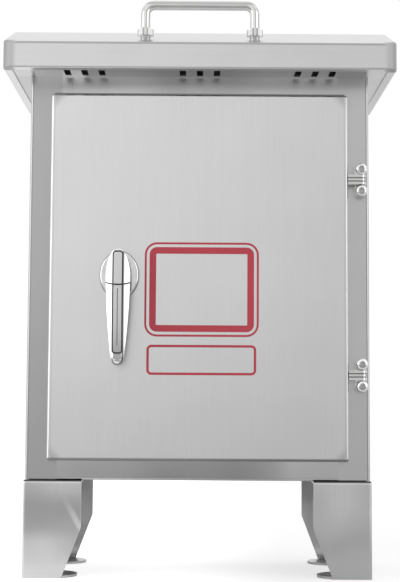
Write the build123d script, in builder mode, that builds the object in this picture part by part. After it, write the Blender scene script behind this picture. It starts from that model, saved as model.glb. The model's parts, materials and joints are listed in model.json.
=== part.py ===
"""Roadside utility cabinet: a folded stainless-steel enclosure on four sheet legs.

The part stands on +Z up with its front towards -Y. The origin is on the ground, at the centre of the
four anchor holes in the foot discs. All lengths are in millimetres.
"""
import os
from math import sqrt

from build123d import *

os.makedirs("parts", exist_ok=True)

# Sheet metal and fits that all pieces share
sheet = 1.2
bend = 2.5
overrun = 10.0
running_gap = 0.05
seat_gap = 0.3
bolt_play = 0.2
half_turn = 180

# Cabinet body
body_width = 350.0
body_depth = 150.0
body_height = 414.0
leg_height = 98.0
wall_upstand = 10.0
rear_flange = 14.0
header_flange = 14.0

# Door and its opening
door_side_margin = 23.0
door_end_margin = 20.0
door_depth = 12.0
door_gap = 1.0
door_corner = 2.6
door_lap = 12.0
lip_height = 7.0
gasket_width = 10.0

# Roof
front_overhang = 41.0
rear_overhang = 25.0
side_overhang = 24.7
roof_lip = 27.0
roof_run = 83.0
roof_rise = 33.0
roof_bend = 2.2
roof_corner = 11.0
return_flange = 9.0

# Air slots in the front eaves
slot_width = 6.5
slot_length = 24.0
slot_inset = 23.7
slot_pitch = 17.6
slot_count = 3
slot_group_pitch = 118.0
slot_group_count = 3
slot_corner = 1.0

# Legs and feet
leg_sheet = 2.0
leg_bend = 3.0
leg_proud = 1.5
leg_width = 59.0
leg_foot_width = 39.7
leg_taper_top = 50.5
leg_flange = 26.0
leg_edge_round = 1.6
leg_bolt_edge = 15.0
leg_bolt_first = 17.0
leg_bolt_pitch = 27.0
foot_radius = 21.0
foot_thick = 2.5
foot_side_inset = 31.5
foot_face_inset = 20.0
anchor_radius = 4.5

# Metric hardware
m6_radius = 3.0
m6_flats = 10.0
m6_head = 4.0
m6_nut = 5.0
m6_tail = 1.5
m5_radius = 2.5
m5_head_radius = 4.5
m5_head = 2.5

# Carry handle
rod_radius = 5.0
handle_spacing = 112.0
handle_inset = 20.5
handle_top = 588.0
handle_bend = 9.5
handle_nut_flats = 14.4
handle_nut_height = 8.3
handle_nut_chamfer = 1.0
handle_tail = 3.0

# Hinges
hinge_spacing = 200.0
hinge_reach = 14.0
hinge_stand = 8.0
pin_radius = 2.0
arm_height = 9.8
arm_radius = 5.0
arm_groove_depth = 0.9
arm_groove_width = 1.4
arm_groove_offset = 1.7
fork_wall = 2.3
lug_nose = 3.2
lug_neck_side = 1.0
bracket_plate = 2.0
bracket_boss = 9.0
bracket_width = 11.0
hinge_screw_offset = 11.2
hinge_head_radius = 6.0
hinge_head = 4.4
hinge_head_round = 3.6
hinge_socket_flats = 4.0
hinge_socket_depth = 2.4

# Lock rosette, sleeve and nut
lock_offset = 80.5
rosette_width = 40.0
rosette_height = 49.0
rosette_thick = 5.0
rosette_round = 2.4
sleeve_radius = 10.0
sleeve_flange_radius = 12.0
sleeve_flange = 2.5
sleeve_sink = 0.2
lock_nut_flats = 27.0
lock_nut_height = 5.0

# Lock lever and dust cap
lever_half_width = 12.0
lever_top = 24.2
lever_shoulder = 4.0
lever_waist_half = 10.2
lever_waist = 45.0
lever_end = 86.0
lever_end_radius = 6.2
lever_front = 30.2
lever_back = 16.0
lever_band = 8.0
flank_slope_share = 0.55
arch_radius = 700.0
arch_drop = 20.0
rib_height = 0.8
rib_top = 20.5
rib_bottom = 79.0
groove_width = 1.2
groove_depth = 1.4
line_width = 0.9
line_top = 16.0
line_bottom = 72.0
boss_radius = 10.5
head_top = 11.0
parting_radius = 32.0
parting_rise = 20.0
cap_floor = 18.5
cap_wall = 2.2
cap_pin_rise = 16.0
cap_pin_stand = 20.5
cap_pin_radius = 1.25
cap_pin_length = 15.2
cap_lug_width = 6.0
cap_lug_nose = 2.5
cap_lug_root = 9.0

# Key plug, spindle and cam
core_radius = 8.0
core_height = 6.2
plug_radius = 5.5
plug_length = 5.0
plug_proud = 0.4
keyway_width = 1.6
keyway_length = 7.0
keyway_depth = 3.0
spindle_radius = 5.0
spindle_socket = 6.5
spindle_square = 7.0
cam_clearance = 1.8
cam_thick = 3.0
cam_width = 18.0
cam_reach = 62.0

# Mounting plate, top-hat rail and earth bar
plate_side_margin = 40.0
plate_end_margin = 37.0
plate_thick = 1.5
plate_corner = 6.0
plate_stand = 15.0
plate_hole_side = 15.0
plate_hole_end = 20.0
spacer_radius = 6.0
rail_length = 240.0
rail_width = 35.0
rail_waist = 27.0
rail_height = 7.5
rail_sheet = 1.0
rail_bend = 0.8
rail_rise = 60.0
rail_slot_length = 15.0
rail_slot_width = 6.2
rail_slot_pitch = 25.0
rail_slot_count = 9
rail_screw_pitch = 150.0
earth_bar_length = 140.0
earth_bar_height = 12.0
earth_bar_depth = 6.0
earth_bar_stand = 10.0
earth_bar_drop = 110.0
earth_bar_fix_pitch = 120.0
earth_screw_pitch = 17.0
earth_screw_count = 6
earth_spacer_radius = 5.0

# Cable grommets
grommet_pitch = 120.0
grommet_groove = 16.0
grommet_flange = 20.0
grommet_bore = 12.0
grommet_lip = 3.0
grommet_skin = 1.5

# Places that follow from the sizes above
half_width = body_width / 2
front_y = -body_depth / 2
rear_y = body_depth / 2
floor_z = leg_height
eaves_z = floor_z + body_height
wall_top = eaves_z + wall_upstand
door_width = body_width - 2 * door_side_margin
door_height = body_height - 2 * door_end_margin
door_z = floor_z + body_height / 2
door_front = front_y - door_gap - door_depth
opening_half = door_width / 2 - door_lap
opening_low = door_z - door_height / 2 + door_lap
opening_high = door_z + door_height / 2 - door_lap
lip_face = opening_half + sheet
stile_end = lip_face + bend - sheet
inner_bend = bend - sheet
roof_half = half_width + side_overhang
lip_front = front_y - front_overhang
lip_rear = rear_y + rear_overhang
ridge_z = eaves_z + roof_lip + roof_rise
roof_slope = roof_rise / roof_run
handle_y = lip_front + handle_inset
hinge_x = door_width / 2 + hinge_reach
pin_y = front_y - hinge_stand
hinge_levels = (door_z + hinge_spacing / 2, door_z - hinge_spacing / 2)
plate_width = body_width - 2 * plate_side_margin
plate_height = body_height - 2 * plate_end_margin
plate_hole_x = plate_width / 2 - plate_hole_side
plate_hole_z = plate_height / 2 - plate_hole_end
plate_rear = rear_y - 2 * sheet - plate_stand
plate_front = plate_rear - plate_thick
rail_z = door_z + rail_rise
earth_bar_z = door_z - earth_bar_drop
earth_bar_rear = plate_front - earth_bar_stand
earth_bar_front = earth_bar_rear - earth_bar_depth

# Heights over the door's face, seen along the lock's axis
cam_front = front_y + sheet + cam_clearance - door_front
sleeve_end = cam_front - seat_gap
boss_back = rosette_thick + seat_gap
lock_plane = Plane(origin=(-lock_offset, door_front, door_z), x_dir=(1, 0, 0), z_dir=(0, -1, 0))


def front_plane(y, z=0.0):
    """Give an upright plane at depth y that is drawn as seen from the front."""
    return Plane(origin=(0, y, z), x_dir=(1, 0, 0), z_dir=(0, -1, 0))


def write(part, name):
    """Label a finished piece and write it to its own file."""
    part.label = name
    export_step(part, f"parts/{name}.step")


def mirrored(part, about):
    """Give the piece of the other hand."""
    with BuildPart() as other:
        mirror(part, about=about)
    return other.part


def hexagons(plane, places, flats, height, bore=0.0):
    """Make a group of hexagon heads or nuts that stand on a plane."""
    with BuildPart() as group:
        with BuildSketch(plane):
            with Locations(*places):
                RegularPolygon(flats / 2, 6, major_radius=False)
                if bore:
                    Circle(bore, mode=Mode.SUBTRACT)
        extrude(amount=height)
    return group.part


# Side panels: side wall, front stile, drip lip at the door opening and rear flange in one sheet
with BuildPart() as side_panel_left:
    with BuildSketch(Plane.XY.offset(floor_z)):
        with BuildLine():
            FilletPolyline(
                (-lip_face, front_y - lip_height),
                (-lip_face, front_y),
                (-half_width, front_y),
                (-half_width, rear_y),
                (-half_width + rear_flange, rear_y),
                radius=[inner_bend, bend, bend],
            )
            offset(amount=sheet, side=Side.RIGHT)
        make_face()
    extrude(amount=wall_top - floor_z)
    for low, high in ((floor_z - overrun, opening_low), (opening_high, wall_top + overrun)):
        with BuildSketch(Plane.XY.offset(low)):
            with Locations((-stile_end, front_y - lip_height - overrun)):
                Rectangle(stile_end, lip_height + 2 * overrun, align=(Align.MIN, Align.MIN))
        extrude(amount=high - low, mode=Mode.SUBTRACT)
side_panel_right_part = mirrored(side_panel_left.part, Plane.YZ)
hinge_screw_places = [
    (hinge_x, level + side * hinge_screw_offset) for level in hinge_levels for side in (1, -1)
]
with BuildPart() as side_panel_right:
    add(side_panel_right_part)
    with BuildSketch(front_plane(front_y)):
        with Locations(*hinge_screw_places):
            Circle(m6_radius + bolt_play)
    extrude(amount=-(sheet + overrun), mode=Mode.SUBTRACT)
write(side_panel_left.part, "side_panel_left")
write(side_panel_right.part, "side_panel_right")

# Back panel: lies on the floor, against the rear flanges of the sides
plate_hole_places = [
    (side * plate_hole_x, door_z + level * plate_hole_z) for side in (-1, 1) for level in (-1, 1)
]
with BuildPart() as back_panel:
    with BuildSketch(front_plane(rear_y - sheet, floor_z + sheet)):
        Rectangle(2 * (half_width - bend), wall_top - floor_z - sheet, align=(Align.CENTER, Align.MIN))
    extrude(amount=sheet)
write(back_panel.part, "back_panel")

# Floor panel: folded up at the front as the sill, with its own drip lip
leg_bolt_places = [
    (
        side * (half_width - leg_bolt_first - step * leg_bolt_pitch),
        end * (rear_y - leg_bolt_edge),
    )
    for side in (-1, 1)
    for end in (-1, 1)
    for step in (0, 1)
]
grommet_places = [(-grommet_pitch / 2, 0), (grommet_pitch / 2, 0)]
with BuildPart() as floor_panel:
    with BuildSketch(Plane.YZ):
        with BuildLine():
            FilletPolyline(
                (front_y - lip_height, opening_low - sheet),
                (front_y, opening_low - sheet),
                (front_y, floor_z),
                (rear_y - sheet, floor_z),
                radius=[inner_bend, bend],
            )
            offset(amount=sheet, side=Side.LEFT)
        make_face()
    extrude(amount=half_width - sheet, both=True)
    for side in (-1, 1):
        with BuildSketch(Plane.XY.offset(floor_z - overrun)):
            with Locations((side * (stile_end + half_width) / 2, front_y + sheet)):
                Rectangle(half_width - stile_end, lip_height + overrun, align=(Align.CENTER, Align.MAX))
        extrude(amount=opening_low - floor_z + 2 * overrun, mode=Mode.SUBTRACT)
    corners = floor_panel.edges().filter_by(Axis.Z)
    fillet(corners.filter_by(lambda edge: abs(edge.center().X) > half_width - bend), bend)
    with BuildSketch(Plane.XY.offset(floor_z - overrun)):
        with Locations(*leg_bolt_places):
            Circle(m6_radius + bolt_play)
        with Locations(*grommet_places):
            Circle(grommet_groove)
    extrude(amount=sheet + 2 * overrun, mode=Mode.SUBTRACT)
write(floor_panel.part, "floor_panel")

# Header rail: the frame over the door opening, with a stiffening flange inside the roof
with BuildPart() as header_rail:
    with BuildSketch(Plane.YZ):
        with BuildLine():
            FilletPolyline(
                (front_y - lip_height, opening_high + sheet),
                (front_y, opening_high + sheet),
                (front_y, wall_top),
                (front_y + header_flange, wall_top),
                radius=[inner_bend, bend],
            )
            offset(amount=sheet, side=Side.RIGHT)
        make_face()
    extrude(amount=stile_end, both=True)
write(header_rail.part, "header_rail")


def hood_block(inset):
    """Make the roof's solid form, set in from its outer faces by a distance."""
    with BuildPart() as block:
        with BuildSketch(Plane.YZ):
            with BuildLine():
                Polyline(
                    (lip_front, eaves_z),
                    (lip_front, eaves_z + roof_lip),
                    (lip_front + roof_run, ridge_z),
                    (lip_rear - roof_run, ridge_z),
                    (lip_rear, eaves_z + roof_lip),
                    (lip_rear, eaves_z),
                    close=True,
                )
            make_face()
            if inset:
                offset(amount=-inset, kind=Kind.INTERSECTION)
        extrude(amount=roof_half - inset, both=True)
        fillet(block.edges().filter_by(Axis.Z), roof_corner - inset)
        fillet(block.edges().filter_by(Axis.Z, reverse=True), roof_bend - inset)
    return block.part


# Roof hood: lips, slopes, flat top and gable ends welded into one, with a return flange below
handle_places = [(-handle_spacing / 2, handle_y), (handle_spacing / 2, handle_y)]
with BuildPart() as roof_hood:
    add(hood_block(0))
    add(hood_block(sheet), mode=Mode.SUBTRACT)
    with BuildSketch(Plane.XY.offset(eaves_z - overrun)):
        with Locations((0, (lip_front + lip_rear) / 2)):
            Rectangle(2 * (roof_half - return_flange), lip_rear - lip_front - 2 * return_flange)
    extrude(amount=sheet + 2 * overrun, mode=Mode.SUBTRACT)
    with BuildSketch(Plane.XY.offset(eaves_z + roof_lip - overrun)):
        with Locations(*handle_places):
            Circle(rod_radius + bolt_play)
    extrude(amount=roof_rise + 2 * overrun, mode=Mode.SUBTRACT)
write(roof_hood.part, "roof_hood")

# Eaves: strips that lie on the hood's return flange and close the gap to the body
eaves_half = roof_half - roof_bend
eaves_corner = roof_corner - roof_bend
with BuildPart() as eaves_front:
    with BuildSketch(Plane.XY.offset(eaves_z + sheet)) as front_strip:
        with Locations((0, front_y)):
            Rectangle(2 * eaves_half, front_overhang - roof_bend, align=(Align.CENTER, Align.MAX))
        fillet(front_strip.vertices().group_by(Axis.Y)[0], eaves_corner)
        with Locations((0, lip_front + slot_inset)):
            with GridLocations(slot_group_pitch, 0, slot_group_count, 1):
                with GridLocations(slot_pitch, 0, slot_count, 1):
                    RectangleRounded(slot_width, slot_length, slot_corner, mode=Mode.SUBTRACT)
    extrude(amount=sheet)
with BuildPart() as eaves_rear:
    with BuildSketch(Plane.XY.offset(eaves_z + sheet)) as rear_strip:
        with Locations((0, rear_y)):
            Rectangle(2 * eaves_half, rear_overhang - roof_bend, align=(Align.CENTER, Align.MIN))
        fillet(rear_strip.vertices().group_by(Axis.Y)[-1], eaves_corner)
    extrude(amount=sheet)
with BuildPart() as eaves_left:
    with BuildSketch(Plane.XY.offset(eaves_z + sheet)):
        with Locations((-half_width, 0)):
            Rectangle(side_overhang - roof_bend, body_depth, align=(Align.MAX, Align.CENTER))
    extrude(amount=sheet)
write(eaves_front.part, "eaves_front")
write(eaves_rear.part, "eaves_rear")
write(eaves_left.part, "eaves_left")
write(mirrored(eaves_left.part, Plane.YZ), "eaves_right")

# Legs: folded angles that stand just proud of the body and taper to the foot, with a flange on top
leg_x = half_width + leg_proud
leg_y = rear_y + leg_proud
with BuildPart() as leg_front_left:
    with BuildSketch():
        with BuildLine():
            FilletPolyline(
                (-leg_x + leg_width, -leg_y),
                (-leg_x, -leg_y),
                (-leg_x, -leg_y + leg_width),
                radius=leg_bend,
            )
            offset(amount=leg_sheet, side=Side.RIGHT)
        make_face()
    extrude(amount=floor_z)
    with BuildSketch(Plane.XY.offset(floor_z)):
        with Locations((-leg_x + leg_bend, -leg_y)):
            Rectangle(leg_width - leg_bend, leg_flange, align=(Align.MIN, Align.MIN))
    extrude(amount=-leg_sheet)
    with BuildSketch(front_plane(-leg_y - overrun)):
        with BuildLine():
            Polyline(
                (-leg_x + leg_foot_width, -overrun),
                (-leg_x + leg_foot_width, 0),
                (-leg_x + leg_width, leg_taper_top),
                (-leg_x + leg_width + overrun, leg_taper_top),
                (-leg_x + leg_width + overrun, -overrun),
                close=True,
            )
        make_face()
    extrude(amount=-(leg_width + 2 * overrun), mode=Mode.SUBTRACT)
    with BuildSketch(Plane.YZ.offset(-leg_x - overrun)):
        with BuildLine():
            Polyline(
                (-leg_y + leg_foot_width, -overrun),
                (-leg_y + leg_foot_width, 0),
                (-leg_y + leg_width, leg_taper_top),
                (-leg_y + leg_width + overrun, leg_taper_top),
                (-leg_y + leg_width + overrun, -overrun),
                close=True,
            )
        make_face()
    extrude(amount=leg_width + 2 * overrun, mode=Mode.SUBTRACT)
    top_edges = leg_front_left.edges().group_by(Axis.Z)[-1]
    fillet(top_edges.filter_by(Axis.X).sort_by(Axis.Y)[0], leg_edge_round)
    with BuildSketch(Plane.XY.offset(floor_z)):
        with Locations(*leg_bolt_places):
            Circle(m6_radius + bolt_play)
    extrude(amount=-(leg_sheet + overrun), mode=Mode.SUBTRACT)
leg_rear_left_part = mirrored(leg_front_left.part, Plane.XZ)
write(leg_front_left.part, "leg_front_left")
write(leg_rear_left_part, "leg_rear_left")
write(mirrored(leg_front_left.part, Plane.YZ), "leg_front_right")
write(mirrored(leg_rear_left_part, Plane.YZ), "leg_rear_right")

# Foot discs with the anchor holes, cut flat where they meet the legs
foot_x = half_width - foot_side_inset
foot_y = rear_y - foot_face_inset
for end, sign_y in (("front", -1), ("rear", 1)):
    for side, sign_x in (("left", -1), ("right", 1)):
        with BuildPart() as foot:
            with BuildSketch():
                with Locations((sign_x * foot_x, sign_y * foot_y)):
                    Circle(foot_radius)
                    Circle(anchor_radius, mode=Mode.SUBTRACT)
                Rectangle(2 * leg_x, 2 * (leg_y - leg_sheet), mode=Mode.INTERSECT)
            extrude(amount=foot_thick)
        write(foot.part, f"foot_{end}_{side}")

# Bolts and nuts that hold the legs to the floor
with BuildPart() as leg_bolts:
    with BuildSketch(Plane.XY.offset(floor_z - leg_sheet)):
        with Locations(*leg_bolt_places):
            RegularPolygon(m6_flats / 2, 6, major_radius=False)
    extrude(amount=-m6_head)
    with BuildSketch(Plane.XY.offset(floor_z - leg_sheet)):
        with Locations(*leg_bolt_places):
            Circle(m6_radius)
    extrude(amount=leg_sheet + sheet + m6_nut + m6_tail)
write(leg_bolts.part, "leg_bolts")
write(
    hexagons(Plane.XY.offset(floor_z + sheet), leg_bolt_places, m6_flats, m6_nut, m6_radius),
    "leg_nuts",
)

# Carry handle: a bent rod through the front slope, held by a nut above and a nut below
roof_at_handle = eaves_z + roof_lip + roof_slope * handle_inset
nut_rise = roof_slope * handle_nut_flats / 2
upper_nut_low = roof_at_handle + nut_rise
lower_nut_high = roof_at_handle - nut_rise - sheet * sqrt(1 + roof_slope**2)
rod_low = lower_nut_high - handle_nut_height - handle_tail
rod_high = handle_top - rod_radius
with BuildPart() as carry_handle:
    with BuildLine(front_plane(handle_y)) as handle_path:
        FilletPolyline(
            (-handle_spacing / 2, rod_low),
            (-handle_spacing / 2, rod_high),
            (handle_spacing / 2, rod_high),
            (handle_spacing / 2, rod_low),
            radius=handle_bend,
        )
    with BuildSketch(Plane.XY.offset(rod_low)):
        with Locations(handle_places[0]):
            Circle(rod_radius)
    sweep(path=handle_path.line)
write(carry_handle.part, "carry_handle")
with BuildPart() as handle_nuts:
    for low in (upper_nut_low, lower_nut_high - handle_nut_height):
        with BuildSketch(Plane.XY.offset(low)):
            with Locations(*handle_places):
                RegularPolygon(handle_nut_flats / 2, 6, major_radius=False)
                Circle(rod_radius, mode=Mode.SUBTRACT)
        extrude(amount=handle_nut_height)
    rims = handle_nuts.edges().filter_by(GeomType.LINE).filter_by(Axis.Z, reverse=True)
    chamfer(rims, handle_nut_chamfer)
write(handle_nuts.part, "handle_nuts")

# Hinge brackets: a plate on the stile with two screw bosses and a lug that carries the pin
screw_levels = [(hinge_x, side * hinge_screw_offset) for side in (-1, 1)]
lug_thick = arm_height - 2 * fork_wall - 2 * seat_gap
for place, level in zip(("upper", "lower"), hinge_levels):
    with BuildPart() as bracket:
        with BuildSketch(front_plane(front_y, level)):
            with Locations((hinge_x, 0)):
                SlotCenterToCenter(2 * hinge_screw_offset, bracket_width, rotation=90)
        extrude(amount=bracket_plate)
        with BuildSketch(front_plane(front_y, level)):
            with Locations(*screw_levels):
                Circle(bracket_width / 2)
        extrude(amount=bracket_boss)
        with BuildSketch(front_plane(front_y, level)):
            with Locations(*screw_levels):
                Circle(m6_radius + bolt_play)
        extrude(amount=bracket_boss, mode=Mode.SUBTRACT)
        with BuildSketch(Plane.XY.offset(level - lug_thick / 2)):
            with Locations((hinge_x, pin_y)):
                Circle(lug_nose)
            with Locations((hinge_x - lug_nose, front_y - bracket_plate)):
                Rectangle(
                    lug_nose + lug_neck_side,
                    hinge_stand - bracket_plate,
                    align=(Align.MIN, Align.MAX),
                )
            with Locations((hinge_x, pin_y)):
                Circle(pin_radius + running_gap, mode=Mode.SUBTRACT)
        extrude(amount=lug_thick)
    write(bracket.part, f"hinge_bracket_{place}")

# Hinge screws with button heads, and their nuts inside the stile
with BuildPart() as hinge_screws:
    with BuildSketch(front_plane(front_y - bracket_boss)):
        with Locations(*hinge_screw_places):
            Circle(hinge_head_radius)
    extrude(amount=hinge_head)
    fillet(hinge_screws.edges().group_by(Axis.Y)[0], hinge_head_round)
    with BuildSketch(front_plane(front_y - bracket_boss - hinge_head)):
        with Locations(*hinge_screw_places):
            RegularPolygon(hinge_socket_flats / 2, 6, major_radius=False)
    extrude(amount=-hinge_socket_depth, mode=Mode.SUBTRACT)
    with BuildSketch(front_plane(front_y - bracket_boss)):
        with Locations(*hinge_screw_places):
            Circle(m6_radius)
    extrude(amount=-(bracket_boss + sheet + m6_nut + m6_tail))
write(hinge_screws.part, "hinge_screws")
write(
    hexagons(
        front_plane(front_y + sheet + m6_nut), hinge_screw_places, m6_flats, m6_nut, m6_radius
    ),
    "hinge_nuts",
)

# Door panel: a pan that laps over the opening
with BuildPart() as door_panel:
    with BuildSketch(front_plane(front_y - door_gap, door_z)):
        RectangleRounded(door_width, door_height, door_corner)
    extrude(amount=door_depth)
    fillet(door_panel.faces().sort_by(Axis.Y)[0].edges(), bend)
    offset(amount=-sheet, openings=door_panel.faces().sort_by(Axis.Y)[-1])
    with BuildSketch(lock_plane.offset(overrun)):
        Circle(sleeve_radius)
    extrude(amount=-(2 * overrun), mode=Mode.SUBTRACT)
write(door_panel.part, "door_panel")

# Door gasket: a soft strip in the pan that the drip lips press on
gasket_thick = door_depth + door_gap - sheet - lip_height - seat_gap
gasket_middle_x = opening_half + sheet / 2
gasket_middle_z = door_height / 2 - door_lap + sheet / 2
with BuildPart() as door_gasket:
    with BuildSketch(front_plane(door_front + sheet, door_z)):
        Rectangle(2 * gasket_middle_x + gasket_width, 2 * gasket_middle_z + gasket_width)
        Rectangle(
            2 * gasket_middle_x - gasket_width,
            2 * gasket_middle_z - gasket_width,
            mode=Mode.SUBTRACT,
        )
    extrude(amount=-gasket_thick)
write(door_gasket.part, "door_gasket")

# Hinge arms: forked blocks on the door's edge that turn about the pin
fork_gap = lug_thick + 2 * seat_gap
fork_depth = lug_nose + seat_gap
for place, level in zip(("upper", "lower"), hinge_levels):
    with BuildPart() as arm:
        with BuildSketch(Plane.XY.offset(level - arm_height / 2)):
            with Locations((hinge_x, pin_y)):
                Circle(arm_radius)
                Rectangle(hinge_reach, 2 * arm_radius, align=(Align.MAX, Align.CENTER))
        extrude(amount=arm_height)
        with BuildSketch(Plane.XY.offset(level - fork_gap / 2)):
            with Locations((hinge_x - fork_depth, pin_y - fork_depth)):
                Rectangle(
                    fork_depth + arm_radius + overrun,
                    fork_depth + arm_radius + overrun,
                    align=(Align.MIN, Align.MIN),
                )
        extrude(amount=fork_gap, mode=Mode.SUBTRACT)
        with BuildSketch(Plane.XY.offset(level - arm_height / 2)):
            with Locations((hinge_x, pin_y)):
                Circle(pin_radius)
        extrude(amount=arm_height, mode=Mode.SUBTRACT)
        for side in (-1, 1):
            with BuildSketch(front_plane(pin_y - arm_radius + arm_groove_depth, level)):
                with Locations((hinge_x, side * arm_groove_offset)):
                    Rectangle(hinge_reach, arm_groove_width, align=(Align.MAX, Align.CENTER))
            extrude(amount=arm_groove_depth, mode=Mode.SUBTRACT)
    write(arm.part, f"hinge_arm_{place}")
with BuildPart() as hinge_pins:
    for level in hinge_levels:
        with BuildSketch(Plane.XY.offset(level - arm_height / 2)):
            with Locations((hinge_x, pin_y)):
                Circle(pin_radius)
        extrude(amount=arm_height)
write(hinge_pins.part, "hinge_pins")

# Lock rosette: an oval plate on the door with a seat for the sleeve's flange
with BuildPart() as lock_rosette:
    with BuildSketch(lock_plane):
        Ellipse(rosette_width / 2, rosette_height / 2)
    extrude(amount=rosette_thick)
    fillet(lock_rosette.faces().sort_by(Axis.Y)[0].edges(), rosette_round)
    with BuildSketch(lock_plane):
        Circle(sleeve_radius)
    extrude(amount=rosette_thick, mode=Mode.SUBTRACT)
    with BuildSketch(lock_plane.offset(rosette_thick)):
        Circle(sleeve_flange_radius)
    extrude(amount=-(sleeve_flange + sleeve_sink), mode=Mode.SUBTRACT)
write(lock_rosette.part, "lock_rosette")

# Lock sleeve: the bearing that passes through the door, with its nut inside
with BuildPart() as lock_sleeve:
    with BuildSketch(lock_plane.offset(rosette_thick - sleeve_sink)):
        Circle(sleeve_flange_radius)
    extrude(amount=-sleeve_flange)
    with BuildSketch(lock_plane.offset(rosette_thick - sleeve_sink)):
        Circle(sleeve_radius)
    extrude(amount=-(rosette_thick - sleeve_sink + sleeve_end))
    with BuildSketch(lock_plane.offset(rosette_thick)):
        Circle(spindle_radius + running_gap)
    extrude(amount=-(rosette_thick + sleeve_end + overrun), mode=Mode.SUBTRACT)
write(lock_sleeve.part, "lock_sleeve")
write(
    hexagons(
        lock_plane.offset(-sheet - lock_nut_height), [(0, 0)], lock_nut_flats, lock_nut_height, sleeve_radius
    ),
    "lock_nut",
)


def lever_form(inset):
    """Make the arched bar of the lever and its cap, set in from its outer faces by a distance."""
    arch_z = door_z - arch_drop
    reach = lever_half_width + overrun
    flank = flank_slope_share * (reach - lever_band / 2)
    shoulder = lever_half_width - inset
    waist = lever_waist_half - inset
    end = lever_end_radius - inset
    with BuildPart() as form:
        with BuildSketch(lock_plane):
            with BuildLine():
                EllipticalCenterArc(
                    (0, -lever_shoulder), shoulder, lever_top + lever_shoulder - inset, arc_size=half_turn
                )
                ThreePointArc((-shoulder, -lever_shoulder), (-waist, -lever_waist), (-end, -lever_end))
                Line((-end, -lever_end), (end, -lever_end))
                ThreePointArc((end, -lever_end), (waist, -lever_waist), (shoulder, -lever_shoulder))
            make_face()
        extrude(amount=lever_front + overrun)
        with BuildSketch(Plane.XY.offset(arch_z)):
            with BuildLine():
                Polyline(
                    (-lock_offset - lever_band / 2, door_front - lever_front + inset),
                    (-lock_offset + lever_band / 2, door_front - lever_front + inset),
                    (-lock_offset + reach, door_front - lever_front + inset + flank),
                    (-lock_offset + reach, door_front - lever_back),
                    (-lock_offset - reach, door_front - lever_back),
                    (-lock_offset - reach, door_front - lever_front + inset + flank),
                    close=True,
                )
            make_face()
        arch_axis = Axis((0, door_front - lever_front + arch_radius, arch_z), (1, 0, 0))
        revolve(axis=arch_axis, mode=Mode.INTERSECT)
    return form.part


def crest_layer(depth):
    """Make an arched layer from the top of the raised flat to a depth under the lever's crest."""
    arch_z = door_z - arch_drop
    with BuildPart() as layer:
        with BuildSketch(Plane.XY.offset(arch_z)):
            with Locations((-lock_offset, door_front - lever_front - rib_height)):
                Rectangle(2 * lever_band, rib_height + depth, align=(Align.CENTER, Align.MIN))
        revolve(axis=Axis((0, door_front - lever_front + arch_radius, arch_z), (1, 0, 0)))
    return layer.part


def rib_form():
    """Make the raised flat that runs down the middle of the cap and the lever."""
    with BuildPart() as rib:
        with BuildSketch(lock_plane):
            with Locations((0, (rib_top - rib_bottom) / 2)):
                RectangleRounded(lever_band, rib_top + rib_bottom, lever_band / 4)
        extrude(amount=lever_front + overrun)
        add(crest_layer(rib_height), mode=Mode.INTERSECT)
    return rib.part


def groove_form():
    """Make the narrow groove round the raised flat, and the line down the middle of the lever."""
    with BuildPart() as groove:
        with BuildSketch(lock_plane):
            with Locations((0, (rib_top - rib_bottom) / 2)):
                RectangleRounded(
                    lever_band + 2 * groove_width,
                    rib_top + rib_bottom + 2 * groove_width,
                    lever_band / 4 + groove_width,
                )
                RectangleRounded(
                    lever_band, rib_top + rib_bottom, lever_band / 4, mode=Mode.SUBTRACT
                )
            with Locations((0, -line_top)):
                Rectangle(line_width, line_bottom - line_top, align=(Align.CENTER, Align.MAX))
        extrude(amount=lever_front + overrun)
        add(crest_layer(groove_depth), mode=Mode.INTERSECT)
    return groove.part


# Lock lever: a cast bar with a ball end, a seat for the dust cap and a housing for the key plug
end_arch = (lever_end - arch_drop) ** 2 / (2 * arch_radius)
ball_stand = (lever_front + lever_back) / 2 - end_arch
with BuildPart() as lock_lever:
    add(lever_form(0))
    add(rib_form())
    add(groove_form(), mode=Mode.SUBTRACT)
    with Locations((-lock_offset, door_front - ball_stand, door_z - lever_end)):
        Sphere(lever_end_radius)
    with BuildSketch(lock_plane.offset(cap_floor)):
        with Locations((0, parting_rise)):
            Circle(parting_radius + seat_gap / 2)
    extrude(amount=lever_front, mode=Mode.SUBTRACT)
    with BuildSketch(lock_plane):
        with Locations((0, head_top)):
            Rectangle(2 * (lever_half_width + overrun), lever_top, align=(Align.CENTER, Align.MIN))
    extrude(amount=lever_front, mode=Mode.SUBTRACT)
    with BuildSketch(lock_plane.offset(boss_back)):
        Circle(boss_radius)
    extrude(amount=cap_floor - boss_back)
    with BuildSketch(lock_plane.offset(cap_floor)):
        Circle(core_radius)
    extrude(amount=core_height)
    with BuildSketch(Plane.YZ.offset(-lock_offset - cap_lug_width / 2)):
        with BuildLine():
            Polyline(
                (door_front - lever_back, door_z + cap_lug_root),
                (door_front - lever_back, door_z + cap_pin_rise),
                (door_front - cap_pin_stand, door_z + cap_pin_rise + cap_lug_nose),
                (door_front - cap_pin_stand - cap_lug_nose, door_z + cap_pin_rise),
                (door_front - cap_floor, door_z + cap_lug_root),
                close=True,
            )
        make_face()
        with Locations((door_front - cap_pin_stand, door_z + cap_pin_rise)):
            Circle(cap_lug_nose)
            Circle(cap_pin_radius, mode=Mode.SUBTRACT)
    extrude(amount=cap_lug_width)
    with BuildSketch(lock_plane.offset(cap_floor + core_height)):
        Circle(plug_radius + running_gap)
    extrude(amount=-(plug_length - plug_proud + seat_gap), mode=Mode.SUBTRACT)
    with BuildSketch(lock_plane.offset(boss_back)):
        Circle(spindle_radius)
    extrude(amount=spindle_socket, mode=Mode.SUBTRACT)
write(lock_lever.part, "lock_lever")

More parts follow.
